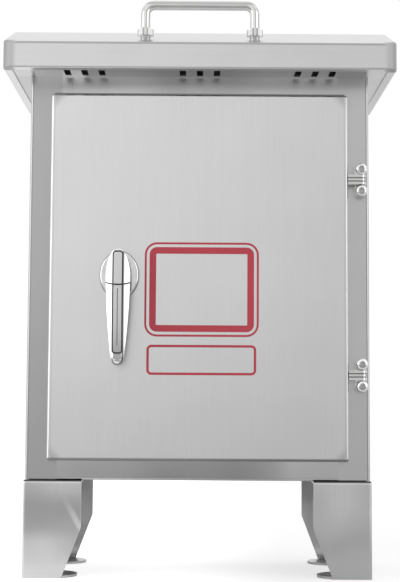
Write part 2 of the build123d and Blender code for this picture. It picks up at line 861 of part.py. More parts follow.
# Pin that carries the dust cap
with BuildPart() as cap_pin:
    with BuildSketch(Plane.YZ.offset(-lock_offset - cap_pin_length / 2)):
        with Locations((door_front - cap_pin_stand, door_z + cap_pin_rise)):
            Circle(cap_pin_radius)
    extrude(amount=cap_pin_length)
write(cap_pin.part, "cap_pin")

# Dust cap: a thin shell that continues the lever's form over the key plug
with BuildPart() as cap_cavity:
    add(lever_form(cap_wall))
    with BuildSketch(lock_plane):
        with Locations((0, parting_rise)):
            Circle(parting_radius - seat_gap / 2 - cap_wall)
    extrude(amount=lever_front, mode=Mode.INTERSECT)
with BuildPart() as dust_cap:
    add(lever_form(0))
    add(rib_form())
    add(groove_form(), mode=Mode.SUBTRACT)
    with BuildSketch(lock_plane.offset(cap_floor + seat_gap)):
        with Locations((0, parting_rise)):
            Circle(parting_radius - seat_gap / 2)
    extrude(amount=lever_front, mode=Mode.INTERSECT)
    add(cap_cavity.part, mode=Mode.SUBTRACT)
    with BuildSketch(Plane.YZ.offset(-lock_offset - cap_pin_length)):
        with Locations((door_front - cap_pin_stand, door_z + cap_pin_rise)):
            Circle(cap_pin_radius + running_gap)
    extrude(amount=2 * cap_pin_length, mode=Mode.SUBTRACT)
write(dust_cap.part, "dust_cap")

# Key plug with its keyway
with BuildPart() as key_plug:
    with BuildSketch(lock_plane.offset(cap_floor + core_height + plug_proud)):
        Circle(plug_radius)
    extrude(amount=-plug_length)
    with BuildSketch(lock_plane.offset(cap_floor + core_height + plug_proud)):
        Rectangle(keyway_width, keyway_length)
    extrude(amount=-keyway_depth, mode=Mode.SUBTRACT)
write(key_plug.part, "key_plug")

# Spindle: round in the sleeve, square in the cam, with a thread for the cam nut
with BuildPart() as lock_spindle:
    with BuildSketch(lock_plane.offset(boss_back + spindle_socket)):
        Circle(spindle_radius)
    extrude(amount=-(boss_back + spindle_socket + cam_front))
    with BuildSketch(lock_plane.offset(-cam_front)):
        Rectangle(spindle_square, spindle_square)
    extrude(amount=-cam_thick)
    with BuildSketch(lock_plane.offset(-cam_front - cam_thick)):
        Circle(m6_radius)
    extrude(amount=-(m6_nut + m6_tail))
write(lock_spindle.part, "lock_spindle")

# Cam: points up while the lever hangs, and turns behind the left stile
with BuildPart() as lock_cam:
    with BuildSketch(lock_plane.offset(-cam_front - cam_thick)):
        with Locations((0, cam_reach / 2)):
            SlotCenterToCenter(cam_reach, cam_width, rotation=90)
        Rectangle(spindle_square, spindle_square, mode=Mode.SUBTRACT)
    extrude(amount=cam_thick)
write(lock_cam.part, "lock_cam")
write(
    hexagons(lock_plane.offset(-cam_front - cam_thick - m6_nut), [(0, 0)], m6_flats, m6_nut, m6_radius),
    "cam_nut",
)

# Mounting plate on four studs with spacers and nuts
with BuildPart() as mounting_plate:
    with BuildSketch(front_plane(plate_rear)):
        with Locations((0, door_z)):
            RectangleRounded(plate_width, plate_height, plate_corner)
        with Locations(*plate_hole_places):
            Circle(m6_radius + bolt_play, mode=Mode.SUBTRACT)
        with Locations((0, rail_z)):
            with GridLocations(rail_screw_pitch, 0, 2, 1):
                Circle(m5_radius + bolt_play, mode=Mode.SUBTRACT)
        with Locations((0, earth_bar_z)):
            with GridLocations(earth_bar_fix_pitch, 0, 2, 1):
                Circle(m5_radius + bolt_play, mode=Mode.SUBTRACT)
    extrude(amount=plate_thick)
write(mounting_plate.part, "mounting_plate")
with BuildPart() as plate_studs:
    with BuildSketch(front_plane(rear_y - 2 * sheet)):
        with Locations(*plate_hole_places):
            Circle(m6_radius)
    extrude(amount=plate_stand + plate_thick + m6_nut + m6_tail)
write(plate_studs.part, "plate_studs")
with BuildPart() as plate_spacers:
    with BuildSketch(front_plane(rear_y - 2 * sheet)):
        with Locations(*plate_hole_places):
            Circle(spacer_radius)
            Circle(m6_radius + bolt_play, mode=Mode.SUBTRACT)
    extrude(amount=plate_stand)
write(plate_spacers.part, "plate_spacers")
write(hexagons(front_plane(plate_front), plate_hole_places, m6_flats, m6_nut, m6_radius), "plate_nuts")

# Top-hat rail with slots, and its screws
with BuildPart() as din_rail:
    with BuildSketch(Plane.YZ):
        with BuildLine():
            FilletPolyline(
                (plate_front - rail_height + rail_sheet, rail_z + rail_width / 2),
                (plate_front - rail_height + rail_sheet, rail_z + rail_waist / 2),
                (plate_front, rail_z + rail_waist / 2),
                (plate_front, rail_z - rail_waist / 2),
                (plate_front - rail_height + rail_sheet, rail_z - rail_waist / 2),
                (plate_front - rail_height + rail_sheet, rail_z - rail_width / 2),
                radius=[rail_bend, rail_bend + rail_sheet, rail_bend + rail_sheet, rail_bend],
            )
            offset(amount=rail_sheet, side=Side.RIGHT)
        make_face()
    extrude(amount=rail_length / 2, both=True)
    with BuildSketch(front_plane(plate_front, rail_z)):
        with GridLocations(rail_slot_pitch, 0, rail_slot_count, 1):
            SlotOverall(rail_slot_length, rail_slot_width)
    extrude(amount=rail_sheet, mode=Mode.SUBTRACT)
write(din_rail.part, "din_rail")
with BuildPart() as din_rail_screws:
    with BuildSketch(front_plane(plate_front - rail_sheet, rail_z)):
        with GridLocations(rail_screw_pitch, 0, 2, 1):
            Circle(m5_head_radius)
    extrude(amount=m5_head)
    with BuildSketch(front_plane(plate_front - rail_sheet, rail_z)):
        with GridLocations(rail_screw_pitch, 0, 2, 1):
            Circle(m5_radius)
    extrude(amount=-(rail_sheet + plate_thick + m5_head))
write(din_rail_screws.part, "din_rail_screws")

# Earth bar on two spacers, with its fixing screws and terminal screws
earth_terminals = GridLocations(earth_screw_pitch, 0, earth_screw_count, 1)
earth_fixings = GridLocations(earth_bar_fix_pitch, 0, 2, 1)
with BuildPart() as earth_bar:
    with BuildSketch(front_plane(earth_bar_rear, earth_bar_z)):
        Rectangle(earth_bar_length, earth_bar_height)
        with earth_terminals:
            Circle(m5_radius, mode=Mode.SUBTRACT)
        with earth_fixings:
            Circle(m5_radius, mode=Mode.SUBTRACT)
    extrude(amount=earth_bar_depth)
write(earth_bar.part, "earth_bar")
with BuildPart() as earth_bar_spacers:
    with BuildSketch(front_plane(plate_front, earth_bar_z)):
        with earth_fixings:
            Circle(earth_spacer_radius)
            Circle(m5_radius, mode=Mode.SUBTRACT)
    extrude(amount=earth_bar_stand)
write(earth_bar_spacers.part, "earth_bar_spacers")
with BuildPart() as earth_bar_screws:
    with BuildSketch(front_plane(earth_bar_front, earth_bar_z)):
        with earth_terminals:
            Circle(m5_head_radius)
        with earth_fixings:
            Circle(m5_head_radius)
    extrude(amount=m5_head)
    with BuildSketch(front_plane(earth_bar_front, earth_bar_z)):
        with earth_terminals:
            Circle(m5_radius)
    extrude(amount=-earth_bar_depth)
    with BuildSketch(front_plane(earth_bar_front, earth_bar_z)):
        with earth_fixings:
            Circle(m5_radius)
    extrude(amount=-(earth_bar_depth + earth_bar_stand + plate_thick))
write(earth_bar_screws.part, "earth_bar_screws")

# Cable grommets: rubber rings in the floor, closed by a skin until a cable is pushed through
for side, (grommet_x, grommet_y) in zip(("left", "right"), grommet_places):
    grommet_plane = Plane(origin=(grommet_x, grommet_y, floor_z), x_dir=(1, 0, 0), z_dir=(0, -1, 0))
    with BuildPart() as grommet:
        with BuildSketch(grommet_plane):
            with BuildLine():
                Polyline(
                    (0, (sheet - grommet_skin) / 2),
                    (grommet_bore, (sheet - grommet_skin) / 2),
                    (grommet_bore, -grommet_lip),
                    (grommet_flange, -grommet_lip),
                    (grommet_flange, 0),
                    (grommet_groove, 0),
                    (grommet_groove, sheet),
                    (grommet_flange, sheet),
                    (grommet_flange, sheet + grommet_lip),
                    (grommet_bore, sheet + grommet_lip),
                    (grommet_bore, (sheet + grommet_skin) / 2),
                    (0, (sheet + grommet_skin) / 2),
                    close=True,
                )
            make_face()
        revolve(axis=Axis((grommet_x, grommet_y, floor_z), (0, 0, 1)))
    write(grommet.part, f"cable_grommet_{side}")
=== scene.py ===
"""Looks of the roadside utility cabinet: finishes, door print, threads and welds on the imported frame."""

import json
from math import radians

import bpy
from mathutils import Matrix, Vector


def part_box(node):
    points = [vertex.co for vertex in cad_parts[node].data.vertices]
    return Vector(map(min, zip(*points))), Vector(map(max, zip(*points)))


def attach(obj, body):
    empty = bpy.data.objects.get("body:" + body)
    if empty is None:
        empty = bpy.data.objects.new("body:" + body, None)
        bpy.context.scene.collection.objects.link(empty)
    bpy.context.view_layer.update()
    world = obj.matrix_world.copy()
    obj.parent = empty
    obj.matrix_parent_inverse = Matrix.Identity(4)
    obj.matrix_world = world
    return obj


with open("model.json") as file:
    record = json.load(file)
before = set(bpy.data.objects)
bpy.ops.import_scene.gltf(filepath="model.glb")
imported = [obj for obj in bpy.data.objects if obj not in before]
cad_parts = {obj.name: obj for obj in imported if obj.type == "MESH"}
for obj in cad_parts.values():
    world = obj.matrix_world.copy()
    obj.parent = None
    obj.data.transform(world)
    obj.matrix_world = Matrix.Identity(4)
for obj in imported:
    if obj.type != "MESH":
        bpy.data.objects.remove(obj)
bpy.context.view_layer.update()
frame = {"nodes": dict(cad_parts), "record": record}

bl_info = {
    "name": "Roadside Utility Cabinet",
    "version": (1, 0, 0),
    "blender": (4, 5, 0),
    "location": "3D View > Sidebar > Cabinet",
    "description": "Finishes, door print, handle threads, foot welds and studio of a steel cabinet",
    "category": "Object",
}

# Boxes that come from the frame
DOOR_LOW, DOOR_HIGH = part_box("door_panel")
SIDE_LOW, SIDE_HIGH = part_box("side_panel_left")
HEADER_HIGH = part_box("header_rail")[1]
ROOF_LOW, ROOF_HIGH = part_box("roof_hood")
LEG_LOW, LEG_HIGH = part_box("leg_front_left")
FOOT_LOW, FOOT_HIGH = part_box("foot_front_left")
HANDLE_LOW, HANDLE_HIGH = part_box("carry_handle")
NUTS_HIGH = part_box("handle_nuts")[1]
SCREWS_LOW, SCREWS_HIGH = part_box("hinge_screws")
ROSETTE_LOW, ROSETTE_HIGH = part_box("lock_rosette")
LEVER_LOW, LEVER_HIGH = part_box("lock_lever")

# Places that follow from those boxes
DOOR_MIDDLE = (DOOR_LOW + DOOR_HIGH) / 2
DOOR_HALF = (DOOR_HIGH.x - DOOR_LOW.x) / 2
DOOR_FACE = DOOR_LOW.y
BODY_HALF = -SIDE_LOW.x
BODY_DEEP = SIDE_HIGH.y
LIP_HEIGHT = 0.027
LIP_TOP = ROOF_LOW.z + LIP_HEIGHT
ROD_RADIUS = (HANDLE_HIGH.y - HANDLE_LOW.y) / 2
ROD_Y = (HANDLE_LOW.y + HANDLE_HIGH.y) / 2
SCREWS_X = (SCREWS_LOW.x + SCREWS_HIGH.x) / 2
LEVER_X = (LEVER_LOW.x + LEVER_HIGH.x) / 2
LOCK_Z = DOOR_MIDDLE.z

# Distance of the hinges from the lock's level, and of their screws and grooves from their own middles
HINGE_HALF = 0.100
SCREW_OFFSET = 0.0112
GROOVE_OFFSET = 0.0017

QUARTER_TURN = radians(90)
WHITE = (1.0, 1.0, 1.0, 1.0)

# Sockets of the Mix node that hold colours
MIX_FIRST, MIX_SECOND, MIX_RESULT = 6, 7, 2

# Rays that show the background itself
SEEN_RAYS = ("Is Camera Ray", "Is Glossy Ray", "Is Transmission Ray")


class Wire:
    """One output socket of a node tree, which takes part in Python sums."""

    def __init__(self, board, socket):
        self.board = board
        self.socket = socket

    def sum(self, operation, first, second):
        return self.board.node("ShaderNodeMath", {"operation": operation}, {0: first, 1: second})

    def __add__(self, other):
        return self.sum("ADD", self, other)

    def __radd__(self, other):
        return self.sum("ADD", other, self)

    def __sub__(self, other):
        return self.sum("SUBTRACT", self, other)

    def __rsub__(self, other):
        return self.sum("SUBTRACT", other, self)

    def __mul__(self, other):
        return self.sum("MULTIPLY", self, other)

    def __rmul__(self, other):
        return self.sum("MULTIPLY", other, self)

    def __pow__(self, other):
        return self.sum("POWER", self, other)

    def __abs__(self):
        return self.board.node("ShaderNodeMath", {"operation": "ABSOLUTE"}, {0: self})


class Board:
    """The node tree of a material or of the world."""

    def __init__(self, tree):
        self.tree = tree
        tree.nodes.clear()

    def node(self, kind, settings=None, sockets=None, output=0):
        """Add a node, make its settings, fill its sockets and give one of its outputs."""
        made = self.tree.nodes.new(kind)
        for name, value in (settings or {}).items():
            setattr(made, name, value)
        for key, value in (sockets or {}).items():
            if isinstance(value, Wire):
                self.tree.links.new(value.socket, made.inputs[key])
            else:
                made.inputs[key].default_value = value
        return Wire(self, made.outputs[output]) if made.outputs else None

    def place(self, stretch=(1, 1, 1)):
        """Give the Object coordinates, stretched for a pattern that runs one way."""
        point = self.node("ShaderNodeTexCoord", output="Object")
        return self.node("ShaderNodeMapping", sockets={"Vector": point, "Scale": stretch})

    def axis(self, name):
        """Give one of the Object coordinates."""
        return self.node("ShaderNodeSeparateXYZ", sockets={0: self.place()}, output=name)

    def larger(self, first, second):
        """Give the larger of two values."""
        return self.node("ShaderNodeMath", {"operation": "MAXIMUM"}, {0: first, 1: second})

    def noise(self, scale, detail, stretch=(1, 1, 1)):
        """Give a noise from 0 to 1 that has that many waves in a metre."""
        sockets = {"Vector": self.place(stretch), "Scale": scale, "Detail": detail}
        return self.node("ShaderNodeTexNoise", sockets=sockets)

    def band(self, value, ramp):
        """Give a smooth step from 0 at the ramp's start to 1 at its end."""
        settings = {"interpolation_type": "SMOOTHSTEP"}
        sockets = {"Value": value, "From Min": ramp[0], "From Max": ramp[1]}
        return self.node("ShaderNodeMapRange", settings, sockets)

    def under(self, value, ramp):
        """Give a smooth step from 1 at the ramp's start to 0 at its end."""
        return 1.0 - self.band(value, ramp)

    def ridge(self, value, rise, fall):
        """Give 1 between two ramps, and 0 before the first and after the second."""
        return self.band(value, rise) * self.under(value, fall)

    def blend(self, share, first, second):
        """Mix two colours."""
        sockets = {0: share, MIX_FIRST: first, MIX_SECOND: second}
        return self.node("ShaderNodeMix", {"data_type": "RGBA"}, sockets, MIX_RESULT)

    def bump(self, height, depth, strength=1.0):
        """Turn a height from 0 to 1 into a normal."""
        sockets = {"Height": height, "Distance": depth, "Strength": strength}
        return self.node("ShaderNodeBump", sockets=sockets)

    def rays(self):
        """Give 1 for each kind of ray that shows the background, or else 0."""
        return [self.node("ShaderNodeLightPath", output=kind) for kind in SEEN_RAYS]

    def surface(self, sockets):
        """Finish a material with its shader."""
        shader = self.node("ShaderNodeBsdfPrincipled", sockets=sockets)
        self.node("ShaderNodeOutputMaterial", sockets={"Surface": shader})


def new_finish(name):
    """Make an empty material and give it with its board."""
    material = bpy.data.materials.new(name)
    material.use_nodes = True
    return material, Board(material.node_tree)


def tone(colour, share):
    """Give a colour that is lighter or darker by a share."""
    return tuple(min(part * share, 1.0) for part in colour[:3]) + (1.0,)


def tones(colour, shares):
    """Give a darker and a lighter tone of a colour."""
    return [tone(colour, share) for share in shares]


def distance(first, second):
    """Give the length of two offsets that are square to each other."""
    return (first * first + second * second) ** 0.5


def shell(board, low, high, axes):
    """Give how far a point lies outside a box along some axes, which is 0 on its faces."""
    outside = []
    for axis in axes:
        start, end = getattr(low, axis.lower()), getattr(high, axis.lower())
        outside.append(abs(board.axis(axis) - (start + end) / 2) - (end - start) / 2)
    return outside


# Marks: a ramp is where a mark starts and ends, in metres, and a tone is its brightness and added roughness
RIGHT_HALF = (-0.05, 0.05)
# Over the door's top edge, the header and stiles carry a painted shadow
OVER_DOOR = (0.0034, 0.0046)
OVER_DOOR_SHADOW_TONE = (0.42, 0.0)
# In the gap between the body and the legs: a painted shadow, which also adds roughness
JOINT_SHADOW_TONE = (0.12, 0.2)

# Marks on the door, from its rims inwards
DOOR_FRONT = (DOOR_FACE + 0.002, DOOR_FACE + 0.003)
DOOR_GROUND = (-0.022, -0.008)
DOOR_GROUND_TONE = (0.70, 0.05)
# Painted shade inside the edges; a painted highlight on the upright edges, darker on the right; painted
# shadow lines along the top and foot
DOOR_INNER = (-0.0046, -0.0036)
DOOR_INNER_END = (-0.0034, -0.0026)
DOOR_INNER_SHADE_TONE = (0.86, 0.0)
DOOR_EDGE = (-0.0026, -0.0014)
DOOR_EDGE_HIGHLIGHT_TONE = (1.14, 0.0)
DOOR_RIGHT_EDGE_SHADE_TONE = (0.90, 0.0)
DOOR_TOP = (-0.0017, -0.0006)
DOOR_TOP_SHADOW_TONE = (0.42, 0.0)
DOOR_FOOT = (0.0016, 0.0036)
DOOR_FOOT_SHADOW_TONE = (0.32, 0.0)


def door_marks(board):
    """The door's upright edges carry a painted highlight, darker on the right, with painted shade inside;
    its welded corners are ground darker, and painted shadow lines run along its top and foot.
    """
    beside, beyond = shell(board, DOOR_LOW, DOOR_HIGH, "XZ")
    height = board.axis("Z")
    face = board.under(board.axis("Y"), DOOR_FRONT)
    edge = board.band(beside, DOOR_EDGE) * face
    right = board.band(board.axis("X"), RIGHT_HALF)
    return (
        (board.band(beside + beyond, DOOR_GROUND) * face, DOOR_GROUND_TONE),
        (board.ridge(beside, DOOR_INNER, DOOR_INNER_END) * face, DOOR_INNER_SHADE_TONE),
        (edge, DOOR_EDGE_HIGHLIGHT_TONE),
        (edge * right, DOOR_RIGHT_EDGE_SHADE_TONE),
        (board.band(height - DOOR_HIGH.z, DOOR_TOP) * face, DOOR_TOP_SHADOW_TONE),
        (board.under(height - DOOR_LOW.z, DOOR_FOOT) * face, DOOR_FOOT_SHADOW_TONE),
    )


# Marks on the side panels and their stiles, from the body's corners inwards
# Painted light and shade on the side panels: a darker left stile, a lighter right stile and stile tops, and
# a highlight on each upright corner beside a shade line
STILE_FACE = (-0.004, -0.002)
LEFT_STILE_SHADE_TONE = (0.90, 0.0)
RIGHT_STILE_LIGHT_TONE = (1.16, 0.0)
STILE_TOP = (-0.030, -0.010)
STILE_TOP_LIGHT_TONE = (1.35, 0.0)
SIDE_BEND = (-0.0026, -0.0014)
SIDE_LINE = (-0.0036, -0.0028)
SIDE_LINE_END = (-0.0024, -0.0018)
SIDE_LINE_SHADE_TONE = (0.70, 0.0)
SIDE_CORNER = (-0.0019, -0.0011)
SIDE_CORNER_HIGHLIGHT_TONE = (1.12, 0.0)
SIDE_JOINT = (0.0009, 0.0013)
SIDE_JOINT_END = (-0.0045, -0.0035)
BEHIND_DOOR = (-0.0020, -0.0010)
WITHIN_DOOR = (-0.003, -0.001)


def side_marks(board):
    """Painted highlights on the upright corners beside painted shade at the bends; painted shade on the
    left stile, painted light on the right stile and the tops; painted shadows at the legs and over the
    door.
    """
    across, height = board.axis("X"), board.axis("Z")
    beside = abs(across) - BODY_HALF
    beyond = abs(board.axis("Y")) - BODY_DEEP
    bend = board.band(beyond, SIDE_BEND)
    stile = board.band(beyond, STILE_FACE)
    right = board.band(across, RIGHT_HALF)
    over = board.ridge(height - DOOR_HIGH.z, BEHIND_DOOR, OVER_DOOR) * stile
    within = board.under(abs(across - DOOR_MIDDLE.x) - DOOR_HALF, WITHIN_DOOR)
    joint = board.under(height - SIDE_LOW.z, SIDE_JOINT) * board.under(beside, SIDE_JOINT_END)
    return (
        (stile * (1.0 - right), LEFT_STILE_SHADE_TONE),
        (stile * right, RIGHT_STILE_LIGHT_TONE),
        (board.band(height - SIDE_HIGH.z, STILE_TOP) * stile, STILE_TOP_LIGHT_TONE),
        (board.ridge(beside, SIDE_LINE, SIDE_LINE_END) * bend, SIDE_LINE_SHADE_TONE),
        (board.band(beside, SIDE_CORNER) * bend, SIDE_CORNER_HIGHLIGHT_TONE),
        (joint, JOINT_SHADOW_TONE),
        (over * within, OVER_DOOR_SHADOW_TONE),
    )


# Marks on the roof, from its outline inwards and from the top of its lip
# Painted shade along the fold above the lips and on the rounded corners, where the welds also add roughness
ROOF_FOLD = (-0.0026, -0.0016)
ROOF_FOLD_END = (0.0002, 0.0008)
ROOF_LIP = (-0.005, -0.004)
ROOF_FOLD_SHADE_TONE = (0.62, 0.0)
ROOF_CORNER = (-0.012, -0.010)
ROOF_ROUGH_SHADE = (-0.0150, -0.0090)
ROOF_ROUGH_SHADE_TONE = (0.86, 0.32)
ROOF_BENT = (-0.0140, -0.0050)
ROOF_BENT_SHADE_TONE = (0.68, 0.0)


def roof_marks(board):
    """The roof carries painted shade along the fold above its lips and on its rounded corners, where the
    welds are also rougher.
    """
    beside, beyond = shell(board, ROOF_LOW, ROOF_HIGH, "XY")
    fold = board.ridge(board.axis("Z") - LIP_TOP, ROOF_FOLD, ROOF_FOLD_END)
    corner = board.band(beyond, ROOF_CORNER)
    return (
        (fold * board.band(beyond, ROOF_LIP), ROOF_FOLD_SHADE_TONE),
        (board.band(beside, ROOF_ROUGH_SHADE) * corner, ROOF_ROUGH_SHADE_TONE),
        (board.band(beside, ROOF_BENT) * corner, ROOF_BENT_SHADE_TONE),
    )


# Marks on the eaves, across the cabinet
# Painted light on the left part of the eaves, and painted shade on the rest and at the far left end
EAVES_TURN = (-0.121, -0.117)
EAVES_LEFT_LIGHT_TONE = (1.42, 0.0)
EAVES_RIGHT_SHADE_TONE = (0.72, 0.0)
EAVES_LEFT_END = (-0.171, -0.169)
EAVES_LEFT_END_SHADE_TONE = (0.84, 0.0)
EAVES_RIGHT_END = (0.169, 0.171)
EAVES_RIGHT_END_TONE = (1.0, 0.0)


def eaves_marks(board):
    """The left part of the eaves carries painted light, and the rest and the far left end carry painted
    shade.
    """
    across = board.axis("X")
    right = board.band(across, EAVES_TURN)
    return (
        (1.0 - right, EAVES_LEFT_LIGHT_TONE),
        (right, EAVES_RIGHT_SHADE_TONE),
        (board.under(across, EAVES_LEFT_END), EAVES_LEFT_END_SHADE_TONE),
        (board.band(across, EAVES_RIGHT_END), EAVES_RIGHT_END_TONE),
    )


# Marks on the header, from its top downwards and from its middle to both sides
# Painted light on the header towards its top and its ends
HEADER_TOP = (-0.022, -0.006)
HEADER_TOP_LIGHT_TONE = (1.36, 0.0)
HEADER_ASIDE = (0.025, 0.075)
HEADER_ASIDE_LIGHT_TONE = (1.22, 0.0)
HEADER_UPPER_ENDS_LIGHT_TONE = (1.75, 0.0)


def header_marks(board):
    """The header carries painted light towards its ends and at the top, and a painted shadow over the door.
    """
    height = board.axis("Z")
    upper = board.band(height - HEADER_HIGH.z, HEADER_TOP)
    aside = board.band(abs(board.axis("X")), HEADER_ASIDE)
    return (
        (upper, HEADER_TOP_LIGHT_TONE),
        (aside, HEADER_ASIDE_LIGHT_TONE),
        (upper * aside, HEADER_UPPER_ENDS_LIGHT_TONE),
        (board.under(height - DOOR_HIGH.z, OVER_DOOR), OVER_DOOR_SHADOW_TONE),
    )


# Marks on the sill, across the cabinet
# Painted shade in the middle of the sill and painted light at its right end
SILL_MIDDLE = (0.03, 0.09)
SILL_MIDDLE_SHADE_TONE = (0.80, 0.0)
SILL_RIGHT = (0.075, 0.100)
SILL_RIGHT_LIGHT_TONE = (1.18, 0.0)


def sill_marks(board):
    """The sill carries painted shade in the middle and painted light at its right end."""
    across = board.axis("X")
    return (
        (board.under(abs(across), SILL_MIDDLE), SILL_MIDDLE_SHADE_TONE),
        (board.band(across, SILL_RIGHT), SILL_RIGHT_LIGHT_TONE),
    )


# Marks on the legs: heights over the floor, the slanting glint on the left leg, and the joint at the top
LEG_FRONT = (0.004, 0.008)
# Painted shade on the middle of the left legs and the foot of the right legs; painted light on the right
# legs away from their fronts
LEG_SHADE_FOOT = (0.034, 0.050)
LEG_SHADE_TOP = (0.068, 0.088)
LEG_SHADE_TONE = (0.84, 0.0)
LOW_SHADE_TOP = (0.020, 0.056)
LOW_SHADE_TONE = (0.82, 0.0)
LEG_REAR_LIGHT_TONE = (1.30, 0.0)
GLINT_X = -0.138
GLINT_Z = 0.087
GLINT_SLOPE = 0.54
GLINT_WIDTH = (0.001, 0.005)
GLINT_FOOT = (0.040, 0.052)
GLINT_TOP = (0.056, 0.086)
GLINT_TONE = (1.24, 0.0)
# A painted highlight on each leg's top bend, under the painted shadow of the joint
LEG_EDGE = (-0.0036, -0.0028)
LEG_EDGE_END = (-0.0018, -0.0014)
LEG_EDGE_HIGHLIGHT_TONE = (1.25, 0.0)
LEG_JOINT = (-0.0018, -0.0012)


def leg_marks(board):
    """A painted shadow lies in the joint over each leg, above a painted highlight on its top edge, and
    painted shade, light and a glint lie on the faces.
    """
    across, height = board.axis("X"), board.axis("Z")
    level = height - LEG_HIGH.z
    front = board.under(board.axis("Y") - LEG_LOW.y, LEG_FRONT)
    right = board.band(across, RIGHT_HALF)
    left_leg_shade = board.ridge(height, LEG_SHADE_FOOT, LEG_SHADE_TOP) * (1.0 - right)
    low_right_shade = board.under(height, LOW_SHADE_TOP) * right
    slant = abs(across - GLINT_X + (height - GLINT_Z) * GLINT_SLOPE)
    glint = board.under(slant, GLINT_WIDTH) * board.ridge(height, GLINT_FOOT, GLINT_TOP)
    return (
        (left_leg_shade * front, LEG_SHADE_TONE),
        (low_right_shade * front, LOW_SHADE_TONE),
        ((1.0 - front) * right, LEG_REAR_LIGHT_TONE),
        (glint * front, GLINT_TONE),
        (board.ridge(level, LEG_EDGE, LEG_EDGE_END), LEG_EDGE_HIGHLIGHT_TONE),
        (board.band(level, LEG_JOINT), JOINT_SHADOW_TONE),
    )


# Marks on the hinges' arms and screws, from their own middles
# Painted shade in the grooves of the hinge arms
ARM_GROOVE = (0.0004, 0.0009)
ARM_GROOVE_SHADE_TONE = (0.28, 0.2)
# Painted shade round the hinge screws' sockets
SCREW_SOCKET = (0.0030, 0.0038)
SCREW_SOCKET_SHADE_TONE = (0.50, 0.1)


def hinge_level(board):
    """Give the height of a point over or under the middle of the hinge that it belongs to."""
    return abs(abs(board.axis("Z") - LOCK_Z) - HINGE_HALF)


def arm_marks(board):
    """The grooves of the hinge arms carry painted shade and are rougher."""
    return ((board.under(abs(hinge_level(board) - GROOVE_OFFSET), ARM_GROOVE), ARM_GROOVE_SHADE_TONE),)


def screw_marks(board):
    """The hinge screws carry painted shade round their sockets, which are also a little rougher."""
    radius = distance(board.axis("X") - SCREWS_X, hinge_level(board) - SCREW_OFFSET)
    return ((board.under(radius, SCREW_SOCKET), SCREW_SOCKET_SHADE_TONE),)


# Marks on the rosette, from its outline inwards
# A painted highlight on the rosette's bevel, and a painted shadow line where it meets the door
ROSETTE_BEVEL = (-0.0026, -0.0020)
ROSETTE_BEVEL_END = (-0.0014, -0.0010)
ROSETTE_BEVEL_HIGHLIGHT_TONE = (1.16, 0.0)
ROSETTE_RIM = (-0.0009, -0.0004)
ROSETTE_RIM_SHADOW_TONE = (0.36, 0.2)


def rosette_marks(board):
    """The rosette carries a painted highlight on its bevel and a painted shadow line where it meets the
    door.
    """
    middle = (ROSETTE_LOW + ROSETTE_HIGH) / 2
    half = ROSETTE_HIGH - middle
    level = (board.axis("Z") - middle.z) * (half.x / half.z)
    outside = distance(board.axis("X") - middle.x, level) - half.x
    return (
        (board.ridge(outside, ROSETTE_BEVEL, ROSETTE_BEVEL_END), ROSETTE_BEVEL_HIGHLIGHT_TONE),
        (board.band(outside, ROSETTE_RIM), ROSETTE_RIM_SHADOW_TONE),
    )


# Marks on the carry handle and its nuts, from the rod's middle and from the top of the bar
# Painted shade on the handle nuts' front and back faces and on their outer corners
NUT_FACE = (0.0026, 0.0032)
NUT_FACE_SHADE_TONE = (0.48, 0.1)
NUT_MIDDLE = (0.0009, 0.0015)
NUT_MIDDLE_SHADE_TONE = (0.80, 0.0)
NUT_RIM = (0.0068, 0.0078)
NUT_RIM_SHADE_TONE = (0.55, 0.0)
# A painted band of shade along the front of the carry handle's bar
BAR_FRONT = (-0.0056, -0.0046)
BAR_FRONT_END = (-0.0030, -0.0018)
BAR_FRONT_SHADE_TONE = (0.66, 0.0)


def nut_marks(board):
    """The handle nuts carry painted shade down the faces that look to the front and back, lighter at the
    middle and a little rougher, and on their outer corners.
    """
    offset = abs(abs(board.axis("X")) - (HANDLE_HIGH.x - ROD_RADIUS))
    return (
        (board.under(offset, NUT_FACE), NUT_FACE_SHADE_TONE),
        (board.under(offset, NUT_MIDDLE), NUT_MIDDLE_SHADE_TONE),
        (board.band(offset, NUT_RIM), NUT_RIM_SHADE_TONE),
    )


def handle_marks(board):
    """The front of the carry handle's bar carries a painted grey band of shade."""
    level = board.axis("Z") - HANDLE_HIGH.z
    return ((board.ridge(level, BAR_FRONT, BAR_FRONT_END), BAR_FRONT_SHADE_TONE),)


# Scales of the patterns, in waves to the metre, and their depths in metres
GRAIN_FINE = 60.0
GRAIN_COARSE = 9.0
GRAIN_UPRIGHT = (40.0, 40.0, 0.4)
GRAIN_ACROSS = (0.4, 40.0, 40.0)
GRAIN_DEPTH = 0.000007
PANEL_SCALE = 9.0
CLOUD_SCALE = 11.0
POLISH_SCALE = 60.0
POLISH_STRETCH = (1.0, 1.0, 4.0)
WAVE_SCALE = 90.0
WAVE_DEPTH = 0.00006
SPECK_SCALE = 1800.0
SPECK_DEPTH = 0.00003
SPANGLE_SCALE = 95.0
INK_SCALE = 700.0

# Depth of the waves in the sheet of the front and roof, of the body and of the legs
FRONT_WAVE = 0.001
BODY_WAVE = 0.003
LEG_WAVE = 0.006

# Middle of a noise, shares of the grain's layers, and the tones and ramps that the patterns run through
NOISE_MIDDLE = 0.5
HAIRLINE_SHARE, STREAK_SHARE, CLOUD_SHARE = 0.5, 0.15, 0.35
METAL_TONES = (0.96, 1.03)
GRAIN_RAMP = (0.3, 0.7)
WIPE_RAMP = (0.35, 0.75)
CLOUD_RAMP = (0.35, 0.65)
DUST_RAMP = (0.5, 0.8)
COOL_TINT = (0.94, 0.98, 1.04)
CRYSTAL_SHARE = 0.7
CRYSTAL_TONES = (0.82, 1.1)
DUST_SHARE = 0.25
DUST_TONES = (1.0, 2.2)
FILM_SHARE = 0.5
INK_TONES = (0.94, 1.07)
INK_ROUGHNESS = 0.42

